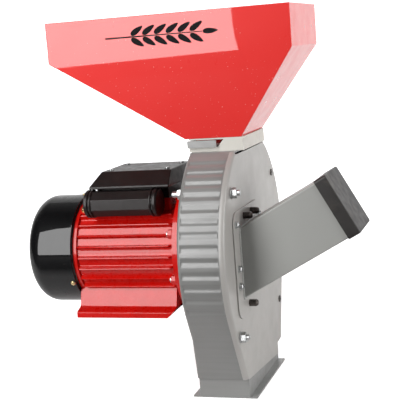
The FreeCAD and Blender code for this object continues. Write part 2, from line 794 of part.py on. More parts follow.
def cowl_screws():
    screws = []
    for angle in COWL_SCREW_ANGLES:
        y, z = polar(angle, 1)
        axis = V(0, y, z)
        base = V(COWL_SCREW_X, y * COWL_R, AXIS_Z + z * COWL_R)
        head = Part.makeCylinder(3.8, 2.4, base, axis)
        shank = Part.makeCylinder(2.0, 14, base, axis.negative())
        screws.append(head.fuse(shank))
    return group(screws)


def terminal_box():
    """Tray bolted on the frame's pad; its far side hangs down and holds the switch."""
    z0 = AXIS_Z + FIN_R
    tray = box(BOX_X, (-41.0, 64.0), (z0, LID_Z[0]))
    side = box(BOX_X, (54.0, 64.0), (262.0, LID_Z[0]))
    cavity = box((BOX_X[0] + 2.5, BOX_X[1] - 2.5), (-38.5, 61.5), (z0 + 2.5, LID_Z[0] + 1))
    side_cavity = box((BOX_X[0] + 2.5, BOX_X[1] - 2.5), (56.5, 61.5), (264.5, LID_Z[0] + 1))
    side = side.fuse(box((-150, -100), (52.0, 64.0), (264.0, LID_Z[0])))
    wire_hole = Part.makeCylinder(7, 12, V(-150, 0, z0 - 3))
    switch_hole = box((-138.4, -109.6), (60.0, 66.0), (270.4, 291.6))
    gland_hole = Part.makeCylinder(6.2, 8, V(BOX_X[0] - 1, 10.0, 291.0), AXIS_X)
    body = tray.fuse(side).cut(group([cavity]))
    return body.cut(side_cavity).cut(wire_hole).cut(switch_hole).cut(gland_hole)


def frustum(low_x, low_y, high_x, high_y, z0, z1):
    return Part.makeLoft([rectangle(low_x, low_y, z0), rectangle(high_x, high_y, z1)], True)


def terminal_lid():
    """Lid with sloping sides that also roofs the capacitor and the switch."""
    outer = frustum(*LID_LOW, *LID_HIGH, *LID_Z)
    wall = 3.0
    low = [(a + wall, b - wall) for a, b in LID_LOW]
    high = [(a + wall - 1, b - wall + 1) for a, b in LID_HIGH]
    inner = frustum(*low, *high, LID_Z[0] - 0.01, LID_Z[1] - 2.5)
    holes = [Part.makeCylinder(2.0, 20, V(x, y, LID_Z[1] - 10)) for x, y in LID_SCREW_XY]
    posts = [
        Part.makeCylinder(4.5, LID_Z[1] - LID_Z[0] - 2, V(x, y, LID_Z[0])) for x, y in LID_SCREW_XY
    ]
    return outer.cut(inner).fuse(posts).cut(group(holes))


def lid_screws():
    screws = []
    for x, y in LID_SCREW_XY:
        head = Part.makeCylinder(3.6, 1.6, V(x, y, LID_Z[1]))
        shank = Part.makeCylinder(1.8, 10, V(x, y, LID_Z[1] - 10))
        screws.append(head.fuse(shank))
    return group(screws)


def capacitor_housing():
    """Moulded cover over the run capacitor, clipped under the lid's near edge."""
    y, z = CAP_HOUSE_YZ
    points = []
    for k in range(8):
        angle = math.radians(22.5 + 45 * k)
        points.append((y + CAP_HOUSE_R * math.cos(angle), z + CAP_HOUSE_R * math.sin(angle)))
    barrel = plate_yz(points, CAP_HOUSE_X[0] + 7, CAP_HOUSE_X[1] - 7)
    ends = []
    for x0, x1 in (
        (CAP_HOUSE_X[0] + 2, CAP_HOUSE_X[0] + 7),
        (CAP_HOUSE_X[0] + 9, CAP_HOUSE_X[0] + 12),
        (CAP_HOUSE_X[1] - 12, CAP_HOUSE_X[1] - 9),
        (CAP_HOUSE_X[1] - 7, CAP_HOUSE_X[1] - 2),
    ):
        ends.append(rod(CAP_RING_R, x0, x1, y, z - AXIS_Z))
    for x0, x1 in ((CAP_HOUSE_X[0], CAP_HOUSE_X[0] + 2), (CAP_HOUSE_X[1] - 2, CAP_HOUSE_X[1])):
        ends.append(rod(CAP_RING_R - 1.5, x0, x1, y, z - AXIS_Z))
    bracket = box((-180.0, -95.0), (-50.0, -41.0), (288.0, 299.6))
    shell = barrel.fuse(ends + [bracket])
    bore = rod(CAP_HOUSE_R - 2.6, CAP_HOUSE_X[0] + 2.5, CAP_HOUSE_X[1] - 2.5, y, z - AXIS_Z)
    return shell.cut(bore).cut(rod(FIN_R + 0.4, -230, -50))


def capacitor():
    y, z = CAP_HOUSE_YZ
    can = rod(16.5, -190, -102, y, z - AXIS_Z)
    posts = [rod(2.0, -102, -95, y + dy, z - AXIS_Z) for dy in (-6.0, 6.0)]
    return can.fuse(posts)


def terminal_block():
    base = box((-130, -84), (-14, 14), (AXIS_Z + FIN_R + 2.5, AXIS_Z + FIN_R + 9))
    posts = []
    for x in (-122, -107, -92):
        for y in (-7.5, 7.5):
            posts.append(Part.makeCylinder(2.5, 9, V(x, y, AXIS_Z + FIN_R + 9)))
    return base.fuse(posts)


def switch_body():
    """Rocker switch body snapped into the box's far side, with a raised bezel."""
    body = box((-138.0, -110.0), (56.8, 64.0), (270.8, 291.2))
    bezel = box((-140.5, -107.5), (64.0, 66.0), (268.0, 294.0))
    well = box((-135.0, -113.0), (58.5, 67.0), (273.4, 288.6))
    return body.fuse(bezel).cut(well)


def switch_rocker():
    """Rocker with two sloping halves, pivoted across the switch body."""
    x, y, z = ROCKER_PIVOT
    points = [
        (x - 9.8, y - 0.2),
        (x - 9.8, y + 4.0),
        (x, y + 1.6),
        (x + 9.8, y + 1.6),
        (x + 9.8, y - 2.0),
        (x, y - 4.4),
    ]
    loop = [V(px, py, z - 7.0) for px, py in points]
    return Part.Face(Part.makePolygon(loop + loop[:1])).extrude(V(0, 0, 14.0))


def cable_gland():
    """Compression gland for the supply lead, with its through bore."""
    x = BOX_X[0]
    at = V(x, 10.0, 291.0)
    parts = [
        Part.makeCylinder(6.0, 8.0, at - AXIS_X * 4.0, AXIS_X),
        hexagon(16.0, x - 5.0, x, 10.0, 291.0),
        Part.makeCylinder(7.2, 9.0, at - AXIS_X * 14.0, AXIS_X),
    ]
    return parts[0].fuse(parts[1:]).cut(Part.makeCylinder(4.0, 40, at - AXIS_X * 20, AXIS_X))


# ---- rotor -------------------------------------------------------------------------------------
def shaft():
    steps = [
        (SHAFT_END, -232.0, 8.5),
        (-232.0, -216.0, 10.0),
        (-216.0, -190.0, 14.0),
        (-190.0, -100.0, 15.0),
        (-100.0, -52.0, 14.0),
        (-52.0, -36.8, 12.5),
        (-36.8, -20.0, 12.0),
        (-20.0, 23.0, 10.0),
        (23.0, 30.4, 7.0),
    ]
    bar = fuse([rod(r, x0, x1) for x0, x1, r in steps])
    keyway = box((-16.0, 21.0), (-3.0, 3.0), (AXIS_Z + 7.0, AXIS_Z + 12.0))
    clip_groove = ring(7.6, 9.0, *FAN_CLIP_X)
    return bar.cut(keyway).cut(clip_groove)


def shaft_key():
    return box((-16.0, 21.0), (-3.0, 3.0), (AXIS_Z + 7.0, AXIS_Z + 11.5))


def rotor_core():
    core = ring(15.0, 38.0, -190, -100)
    bars = []
    for k in range(18):
        y, z = polar(20 * k, 34.5)
        bars.append(rod(1.6, -191, -99, y, z))
    return core.cut(group(bars))


def rotor_cage():
    """Cast end rings and bars of the squirrel cage."""
    rings = [ring(29.0, 37.5, x0, x1) for x0, x1 in ((-196.0, -190.0), (-100.0, -94.0))]
    bars = []
    for k in range(18):
        y, z = polar(20 * k, 34.5)
        bars.append(rod(1.6, -190.5, -99.5, y, z))
    return rings[0].fuse([rings[1]] + bars)


def cooling_fan():
    """Radial fan: a hub, a thin disc and straight blades."""
    x0, x1 = FAN_X
    hub = rod(15.0, x0, x1)
    disc = rod(62.0, x1 - 2.5, x1)
    blades = []
    for k in range(8):
        blade = box((x0 + 4, x1 - 1), (-1.2, 1.2), (AXIS_Z + 13, AXIS_Z + 66))
        blade.rotate(V(0, 0, AXIS_Z), AXIS_X, 45 * k)
        blades.append(blade)
    return hub.fuse([disc] + blades).cut(rod(8.5, x0 - 1, x1 + 1))


def fan_clip():
    clip = ring(7.6, 12.5, *FAN_CLIP_X)
    mouth = box((FAN_CLIP_X[0] - 1, FAN_CLIP_X[1] + 1), (-3.0, 3.0), (AXIS_Z, AXIS_Z + 15))
    return clip.cut(mouth)


def pin_holes(r, x0, x1):
    return [rod(r, x0, x1, *polar(angle, PIN_CIRCLE_R)) for angle in PIN_ANGLES]


def keyed_bore(x0, x1):
    slot = box((x0, x1), (-3.0, 3.0), (AXIS_Z + 8.0, AXIS_Z + 11.5))
    return rod(10.0, x0, x1).fuse(slot)


def rear_disc():
    """Rear rotor disc with the long hub that sets the disc spacing."""
    disc = rod(DISC_R, DISC_BACK_X, DISC_BACK_X + DISC_T)
    hub = rod(18.0, DISC_BACK_X, DISC_FRONT_X)
    cutters = pin_holes(PIN_R, DISC_BACK_X - 1, DISC_BACK_X + DISC_T + 1)
    cutters.append(keyed_bore(DISC_BACK_X - 1, DISC_FRONT_X + 1))
    return disc.fuse(hub).cut(group(cutters))


def front_disc():
    disc = rod(DISC_R, DISC_FRONT_X, DISC_FRONT_X + DISC_T)
    cutters = pin_holes(PIN_R, DISC_FRONT_X - 1, DISC_FRONT_X + DISC_T + 1)
    cutters.append(keyed_bore(DISC_FRONT_X - 1, DISC_FRONT_X + DISC_T + 1))
    return disc.cut(group(cutters))


def cob_knives():
    """Two bevelled blades across the front disc, which chop cobs as they come in."""
    knives = []
    face = DISC_FRONT_X + DISC_T
    for angle in KNIFE_ANGLES:
        blade = plate_yz(
            [(20, AXIS_Z - 9), (74, AXIS_Z - 9), (74, AXIS_Z + 9), (20, AXIS_Z + 9)],
            face,
            face + 4.5,
        )
        bevel = Part.Face(
            Part.makePolygon(
                [
                    V(face + 1.0, 19, AXIS_Z + 9.1),
                    V(face + 5.0, 19, AXIS_Z + 9.1),
                    V(face + 5.0, 19, AXIS_Z + 3.5),
                    V(face + 1.0, 19, AXIS_Z + 9.1),
                ]
            )
        ).extrude(V(0, 60, 0))
        blade = blade.cut(bevel)
        rivets = [rod(3.2, face + 4.5, face + 5.6, y, -3.0) for y in (32.0, 54.0)]
        blade = blade.fuse(rivets)
        blade.rotate(V(0, 0, AXIS_Z), AXIS_X, angle)
        knives.append(blade)
    return group(knives)


def hammer_pins():
    pins = []
    for angle in PIN_ANGLES:
        y, z = polar(angle, PIN_CIRCLE_R)
        pin = rod(PIN_R, DISC_BACK_X - 0.6, DISC_FRONT_X + DISC_T + 3.0, y, z)
        head = rod(PIN_R + 2.5, DISC_BACK_X - 2.6, DISC_BACK_X, y, z)
        groove = ring(PIN_R - 0.6, PIN_R + 1, *clip_span(), y, z)
        pins.append(pin.fuse(head).cut(groove))
    return group(pins)


def clip_span():
    face = DISC_FRONT_X + DISC_T
    return face + 0.3, face + 1.5


def pin_clips():
    clips = []
    for angle in PIN_ANGLES:
        y, z = polar(angle, PIN_CIRCLE_R)
        clip = ring(PIN_R - 0.6, PIN_R + 2.6, *clip_span(), y, z)
        mouth = box((15.0, 30.0), (y - 1.5, y + 1.5), (AXIS_Z + z, AXIS_Z + z + 12))
        clips.append(clip.cut(mouth))
    return group(clips)


def hammer_slots(index):
    """Middle planes of one pin's hammers; neighbouring pins are set half a pitch apart."""
    first = DISC_BACK_X + DISC_T + 1.2 + HAMMER_T / 2 + (HAMMER_PITCH / 2 if index % 2 else 0)
    return [first + HAMMER_PITCH * k for k in range(4) if first + HAMMER_PITCH * k < DISC_FRONT_X - 2]


def hammers(index):
    """The swing hammers of one pin, hanging straight down from it."""
    y, z = polar(PIN_ANGLES[index], PIN_CIRCLE_R)
    z += AXIS_Z
    plates = []
    for x in hammer_slots(index):
        x0 = x - HAMMER_T / 2
        half = HAMMER_W / 2
        blade = box((x0, x0 + HAMMER_T), (y - half, y + half), (z - HAMMER_REACH, z))
        eye = Part.makeCylinder(half, HAMMER_T, V(x0, y, z), AXIS_X)
        hole = Part.makeCylinder(PIN_R + RUNNING, HAMMER_T, V(x0, y, z), AXIS_X)
        plates.append(blade.fuse(eye).cut(hole))
    return group(plates)


def hammer_spacers():
    """Tubes on the pins that keep the hammers apart."""
    tubes = []
    for index, angle in enumerate(PIN_ANGLES):
        y, z = polar(angle, PIN_CIRCLE_R)
        start = DISC_BACK_X + DISC_T
        for x in hammer_slots(index) + [DISC_FRONT_X + HAMMER_T / 2 + 0.15]:
            stop = x - HAMMER_T / 2 - 0.15
            if stop - start > 0.8:
                tubes.append(ring(PIN_R, PIN_R + 3.2, start, stop, y, z))
            start = x + HAMMER_T / 2 + 0.15
    return group(tubes)


def rotor_nut():
    nut = hexagon(22.0, DISC_FRONT_X + DISC_T + 1.8, DISC_FRONT_X + DISC_T + 7.0, 0, AXIS_Z)
    washer = rod(14.0, DISC_FRONT_X + DISC_T, DISC_FRONT_X + DISC_T + 1.8)
    return nut.fuse(washer).cut(rod(7.0, DISC_FRONT_X, 40))


# ---- cover, cob chute and cap ------------------------------------------------------------------
def cover():
    """Shallow pressed cover whose lip laps over the drum."""
    base = SKIRT_Z + 0.6
    outer = drum_solid(COVER_GAP + COVER_LIP, COVER_BACK, COVER_FACE, CHAMBER_TOP, base)
    outer = trim_below(outer, base)
    rim = [
        e
        for e in outer.Edges
        if all(abs(v.X - COVER_FACE) < 1e-6 for v in e.Vertexes) and e.CenterOfMass.z > base + 2
    ]
    outer = outer.makeFillet(COVER_ROUND, rim)
    inner = drum_solid(COVER_GAP, COVER_BACK - 1, COVER_FACE - COVER_T, CHAMBER_TOP + 5, 0)
    pan = outer.cut(inner).fuse(foot_wedge(0, COVER_FACE - COVER_T, COVER_FACE))
    holes = [rod(4.4, 20, 50, y, z - AXIS_Z) for y, z in STUD_YZ + SCREW_YZ]
    holes.append(chute_solid(-CHUTE_T, -60, 60))
    return pan.cut(group(holes))


def trim_below(shape, z):
    return shape.cut(box((-100, 100), (-300, 300), (z - 200, z)))


def slope(along, up):
    """(x, z) of a point on the chute, measured along it and square to it."""
    a = math.radians(CHUTE_ANGLE)
    x = COVER_FACE + PLATE_T + along * math.cos(a) - up * math.sin(a)
    z = CHUTE_Z + along * math.sin(a) + up * math.cos(a)
    return x, z


def chute_solid(grow, start, end):
    """A rectangular bar along the chute, grown on every side."""
    corners = [
        slope(start, -grow),
        slope(end, -grow),
        slope(end, CHUTE_H + grow),
        slope(start, CHUTE_H + grow),
    ]
    bar = plate_xz(corners, CHUTE_Y[0] - grow, CHUTE_Y[1] + grow)
    return bar


def round_long_edges(bar, radius):
    a = math.radians(CHUTE_ANGLE)
    along = V(math.cos(a), 0, math.sin(a))
    edges = [
        e
        for e in bar.Edges
        if abs((e.Vertexes[1].Point - e.Vertexes[0].Point).normalize().dot(along)) > 0.999
    ]
    return bar.makeFillet(radius, edges)


def behind_face(x):
    return box((-300, x), (-300, 300), (0, 600))


def chute():
    """Folded rectangular tube, welded to the plate's face."""
    outer = round_long_edges(chute_solid(0, -60, CHUTE_LENGTH), 2.5)
    inner = round_long_edges(chute_solid(-CHUTE_T, -70, CHUTE_LENGTH + 10), 1.0)
    return outer.cut(inner).cut(behind_face(COVER_FACE + PLATE_T))


def chute_cap():
    """Moulded cap pushed over the chute's mouth."""
    end = CHUTE_LENGTH + 0.4
    outer = round_long_edges(chute_solid(CAP_T + 0.35, end - CAP_DEPTH, end + 3.0), 4.0)
    rim = [
        e
        for e in outer.Edges
        if e.CenterOfMass.x > slope(end + 3.0, CHUTE_H / 2)[0] - 60
        and all(on_cap_face(v, end + 3.0) for v in e.Vertexes)
    ]
    outer = outer.makeFillet(1.4, rim)
    inner = round_long_edges(chute_solid(0.35, end - CAP_DEPTH - 5, end), 2.8)
    return outer.cut(inner)


def on_cap_face(vertex, along):
    a = math.radians(CHUTE_ANGLE)
    x, z = slope(along, 0)
    return abs((vertex.X - x) * math.cos(a) + (vertex.Z - z) * math.sin(a)) < 1e-4


def chute_plate():
    """Plate with rounded corners that carries the chute."""
    x0, x1 = COVER_FACE, COVER_FACE + PLATE_T
    plate = rounded_block((x0, x1), PLATE_Y, PLATE_Z, 19.0, AXIS_X)
    holes = [chute_solid(-CHUTE_T, -60, 60)]
    holes += [rod(2.6, x0 - 1, x1 + 1, y, z - AXIS_Z) for y, z in CHUTE_SCREWS + CHUTE_BOLTS]
    return plate.cut(group(holes))


def chute_screws():
    x1 = COVER_FACE + PLATE_T
    screws = []
    for y, z in CHUTE_SCREWS:
        washer = rod(5.2, x1, x1 + 1.0, y, z - AXIS_Z)
        head = hexagon(8.0, x1 + 1.0, x1 + 4.6, y, z)
        shank = rod(2.5, COVER_FACE, x1, y, z - AXIS_Z)
        tip = rod(1.9, x1 + 4.6, x1 + 6.6, y, z - AXIS_Z)
        screws.append(washer.fuse([head, shank, tip]))
    return group(screws)


def chute_bolts():
    """Long dark cap nuts over the chute."""
    x1 = COVER_FACE + PLATE_T
    bolts = []
    for y, z in CHUTE_BOLTS:
        body = hexagon(9.0, x1, x1 + 11.0, y, z)
        crown = rod(4.0, x1 + 11.0, x1 + 13.0, y, z - AXIS_Z)
        shank = rod(2.5, COVER_FACE, x1, y, z - AXIS_Z)
        bolts.append(body.fuse([crown, shank]))
    return group(bolts)


def cover_studs():
    """The upper stud passes through the drum and stands out behind; the lower one is screwed in."""
    tip = COVER_FACE + 12.5
    long_stud = rod(4.0, CHAMBER_BACK - 15, tip, UPPER_STUD[0], UPPER_STUD[1] - AXIS_Z)
    rear_nut = hexagon(13.0, CHAMBER_BACK - 7, CHAMBER_BACK, *UPPER_STUD)
    short_stud = rod(4.0, CHAMBER_FRONT - 20, tip, LOWER_STUD[0], LOWER_STUD[1] - AXIS_Z)
    return group([long_stud.fuse(rear_nut), short_stud])


def cover_nuts():
    """Hexagon nuts with their washers on the near side's studs."""
    nuts = []
    for y, z in STUD_YZ:
        washer = rod(8.0, COVER_FACE, COVER_FACE + 1.5, y, z - AXIS_Z)
        nut = hexagon(13.0, COVER_FACE + 1.5, COVER_FACE + 8.5, y, z)
        bore = rod(4.08, COVER_FACE - 1, COVER_FACE + 20, y, z - AXIS_Z)
        nuts.append(washer.fuse(nut).cut(bore))
    return group(nuts)


def cover_screws():
    """Dark button-head screws on the far side."""
    screws = []
    for y, z in SCREW_YZ:
        dz = z - AXIS_Z
        head = rod(5.0, COVER_FACE, COVER_FACE + 1.6, y, dz)
        shank = rod(3.9, CHAMBER_FRONT + 0.3, COVER_FACE, y, dz)
        socket = hexagon(3.6, COVER_FACE - 0.6, COVER_FACE + 3, y, z)
        screws.append(head.fuse(shank).cut(socket))
    return group(screws)


# ---- assembly ----------------------------------------------------------------------------------
def build():
    makers = [
        chamber_shell,
        discharge_flange,
        sieve,
        sieve_rail,
        hopper,
        hopper_collar,
        hopper_bolts,
        gate,
        motor_frame,
        tie_rods,
        earth_screw,
        stator_core,
        stator_winding,
        rear_shield,
        front_shield,
        flange_bolts,
        flange_nuts,
        bearing_balls,
        shaft_seal,
        fan_cowl,
        cowl_screws,
        terminal_box,
        terminal_lid,
        lid_screws,
        capacitor_housing,
        capacitor,
        terminal_block,
        switch_body,
        switch_rocker,
        cable_gland,
        shaft,
        shaft_key,
        rotor_core,
        rotor_cage,
        cooling_fan,
        fan_clip,
        rear_disc,
        front_disc,
        cob_knives,
        hammer_pins,
        pin_clips,
        hammer_spacers,
        rotor_nut,
        cover,
        chute_plate,
        chute,
        chute_cap,
        chute_screws,
        chute_bolts,
        cover_studs,
        cover_nuts,
        cover_screws,
    ]
    for maker in makers:
        add(maker.__name__, maker())
    add("front_bearing_outer", bearing_outer(*FRONT_BEARING))
    add("front_bearing_inner", bearing_inner(*FRONT_BEARING))
    add("rear_bearing_outer", bearing_outer(*REAR_BEARING))
    add("rear_bearing_inner", bearing_inner(*REAR_BEARING))
    for index in range(len(PIN_ANGLES)):
        add(f"hammers_{index + 1}", hammers(index))


def main():
    os.makedirs("parts", exist_ok=True)
    build()
    for name, shape in NODES.items():
        print(name, "valid" if shape.isValid() else "INVALID", len(shape.Solids), round(shape.Volume))
        shape.exportStep(f"parts/{name}.step")


main()
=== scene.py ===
"""Looks of the hammer mill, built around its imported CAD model.

Lengths are in millimetres until a mesh is made. The stage, the lights and the camera are in metres.
The mill's +X runs along the shaft from the motor to the cover, +Z is up, and the near side is -Y.
"""

import math

import bmesh
import bpy
from mathutils import Matrix, Vector
from mathutils.geometry import delaunay_2d_cdt


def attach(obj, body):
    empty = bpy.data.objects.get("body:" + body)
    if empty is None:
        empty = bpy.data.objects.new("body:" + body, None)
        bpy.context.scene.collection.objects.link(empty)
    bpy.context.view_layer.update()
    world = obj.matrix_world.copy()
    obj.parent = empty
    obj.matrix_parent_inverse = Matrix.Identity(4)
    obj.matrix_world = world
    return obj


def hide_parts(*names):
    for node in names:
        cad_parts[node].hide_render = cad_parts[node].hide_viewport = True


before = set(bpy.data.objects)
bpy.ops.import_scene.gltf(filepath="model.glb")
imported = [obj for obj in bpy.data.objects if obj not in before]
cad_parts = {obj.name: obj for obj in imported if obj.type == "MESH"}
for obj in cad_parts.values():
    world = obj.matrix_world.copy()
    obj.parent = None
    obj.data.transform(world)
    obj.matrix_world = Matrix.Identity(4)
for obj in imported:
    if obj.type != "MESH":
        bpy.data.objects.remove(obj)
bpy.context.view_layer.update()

MM = 0.001

# Drum and cover
AXIS_Z = 202.3                          # height of the shaft
DRUM_R = 161.5
DRUM_TOP = 347.0                        # height of the drum's flat top
DRUM_BACK, DRUM_FRONT = -30.0, 34.6
DRUM_WALL = 2.6
SKIRT_Z = 28.0                          # lower edge of the drum, over the discharge
NEAR_FOOT_Y, FAR_FOOT_Y = -90.0, 109.5  # where the drum's sides meet the discharge
LEAN_FROM_Z, LEAN = 102.0, 0.1297       # the back wall leans out below this height
COVER_BACK, COVER_FACE = 29.6, 37.6
COVER_WALL = 2.4
COVER_FOOT_Y = 87.4
COVER_FOOT_Z = (28.2, 11.0)             # the cover's slanted lower edge, near and far end
PILLARS = ((-112.0, 296.0), (-117.0, 98.0), (115.0, 292.0), (115.0, 91.0))
FLUTE_FIRST, FLUTE_PITCH = 35.5, 6.4    # degrees from the top
FLUTE_HALF, FLUTE_DEPTH = 7.0, 1.6
FLUTE_X = (-26.0, 28.4)
BOLT_CIRCLE_R, BOLT_HOLE_R = 86.0, 4.2  # the motor's bolts in the drum's back wall
SHAFT_HOLE_R = 30.0

# Chute
CHUTE_ANGLE = math.radians(28.9)
CHUTE_Y = (-92.5, -4.8)
CHUTE_Z = 145.5                         # where the chute's underside meets its plate
CHUTE_H = 86.3
CHUTE_END = 184.2
PLATE_FACE = 39.6
PLATE_Y, PLATE_Z = (-120, 20), (120, 268)
PLATE_SCREWS = ((-108, 251.5), (-108, 190.5), (-108, 166.5), (9, 249), (9, 164))
CAP_NUTS = ((-66, 257.5), (-28, 257.5), (-66, 133))

# Hopper
RIM_X, RIM_Y = (-223.7, 126.9), 85.8
NECK_X, NECK_Y = (-38.5, 42.7), 60.5
NECK_Z, BAND_Z, RIM_Z = 365.7, 483.4, 540.0
SHEET = 1.5
MOUTH_X, MOUTH_Y = (-27, 36), 46
MARK_X, MARK_Y, MARK_Z = -96.0, -85.95, 512.0

# Motor
BARREL_R, BARREL_BORE_R = 71.0, 64.0
FIN_FIRST, FIN_STEP, FIN_COUNT = -47, 12, 23
FIN_GAP = (58, 122)                     # no fins under the terminal box, in degrees
FIN_ROOT = 3.2
SEAM_FROM, SEAM_TO = -53.0, 307.0      # the barrel is drawn once round from here, in degrees
FEET_Z = 112.3
COWL_R, COWL_FRONT, COWL_BACK = 80.95, -221.0, -297.2
COWL_ROUND = 26.0
COWL_SIDES = 120
COWL_SCREW_ANGLES = (90.0, 209.0, 331.0)
EARTH_AT = Vector((-209.0, -42.0, AXIS_Z + 62.5))
EARTH_AXIS = Vector((0, -42.0, 62.5)).normalized()
CASE_X, CASE_Y, CASE_Z = (-194.0, -81.0), -64.0, 279.0
CASE_R = 19.4


# ---- materials ---------------------------------------------------------------------------------
def map_range(nt, value, low, high, a, b):
    """A value taken from one range to another, held at its ends."""
    node = nt.nodes.new("ShaderNodeMapRange")
    for socket, number in (("From Min", low), ("From Max", high), ("To Min", a), ("To Max", b)):
        node.inputs[socket].default_value = number
    nt.links.new(value, node.inputs["Value"])
    return node.outputs["Result"]


def surface(
    name, colour, rough, metal=0.0, coat=0.0, coat_rough=0.08, dark=0.82, mottle=28.0,
    grain=900.0, bump=0.12, depth=0.05, spread=0.08, streak=None, specks=0.0, grime=0.0,
    spec=0.5,
):
    """A procedural finish: mottled colour, uneven roughness and a fine grain in the bump."""
    m = bpy.data.materials.new(name)
    m.use_nodes = True
    nt = m.node_tree
    shader = nt.nodes["Principled BSDF"]
    shader.inputs["Metallic"].default_value = metal
    shader.inputs["Specular IOR Level"].default_value = spec
    shader.inputs["Coat Weight"].default_value = coat
    shader.inputs["Coat Roughness"].default_value = coat_rough
    at = nt.nodes.new("ShaderNodeTexCoord")
    link = nt.links.new

    def noise(scale, detail=3.0, stretch=(1, 1, 1)):
        mapping = nt.nodes.new("ShaderNodeMapping")
        mapping.inputs["Scale"].default_value = stretch
        link(at.outputs["Object"], mapping.inputs["Vector"])
        n = nt.nodes.new("ShaderNodeTexNoise")
        n.inputs["Scale"].default_value = scale
        n.inputs["Detail"].default_value = detail
        link(mapping.outputs["Vector"], n.inputs["Vector"])
        return n.outputs["Fac"]

    def ramp(value, low, high, a, b):
        return map_range(nt, value, low, high, a, b)

    def mix(factor, a, b):
        x = nt.nodes.new("ShaderNodeMix")
        x.data_type = "RGBA"
        link(factor, x.inputs["Factor"])
        for socket, value in ((x.inputs["A"], a), (x.inputs["B"], b)):
            if isinstance(value, tuple):
                socket.default_value = (*value, 1)
            else:
                link(value, socket)
        return x.outputs["Result"]

    shade = tuple(c * dark for c in colour)
    patches = noise(mottle, 4.0)
    tone = mix(ramp(patches, 0.2, 0.8, 0, 1), shade, colour)
    if grime:
        dust = noise(mottle * 2.3, 6.0, (0.4, 1, 1))
        tone = mix(ramp(dust, 0.55, 0.8, 0, grime), tone, DUST)
    if specks:
        fleck = noise(420.0, 1.0)
        tone = mix(ramp(fleck, 0.74, 0.78, 0, specks), tone, FLECK)
    if streak:
        lines = noise(streak[0], 2.0, streak[1])
        tone = mix(ramp(lines, 0.4, 0.62, 0, streak[2]), tone, tuple(c * 0.55 for c in colour))
    link(tone, shader.inputs["Base Color"])
    uneven = noise(mottle * 5, 5.0)
    link(ramp(uneven, 0.3, 0.7, max(0.02, rough - spread), rough + spread), shader.inputs["Roughness"])
    relief = nt.nodes.new("ShaderNodeBump")
    relief.inputs["Strength"].default_value = bump
    relief.inputs["Distance"].default_value = depth * MM
    link(noise(grain, 4.0), relief.inputs["Height"])
    top = relief
    if streak:
        rolled = nt.nodes.new("ShaderNodeBump")
        rolled.inputs["Strength"].default_value = streak[3]
        rolled.inputs["Distance"].default_value = 0.2 * MM
        link(noise(streak[0], 2.0, streak[1]), rolled.inputs["Height"])
        link(relief.outputs["Normal"], rolled.inputs["Normal"])
        top = rolled
    link(top.outputs["Normal"], shader.inputs["Normal"])
    return m


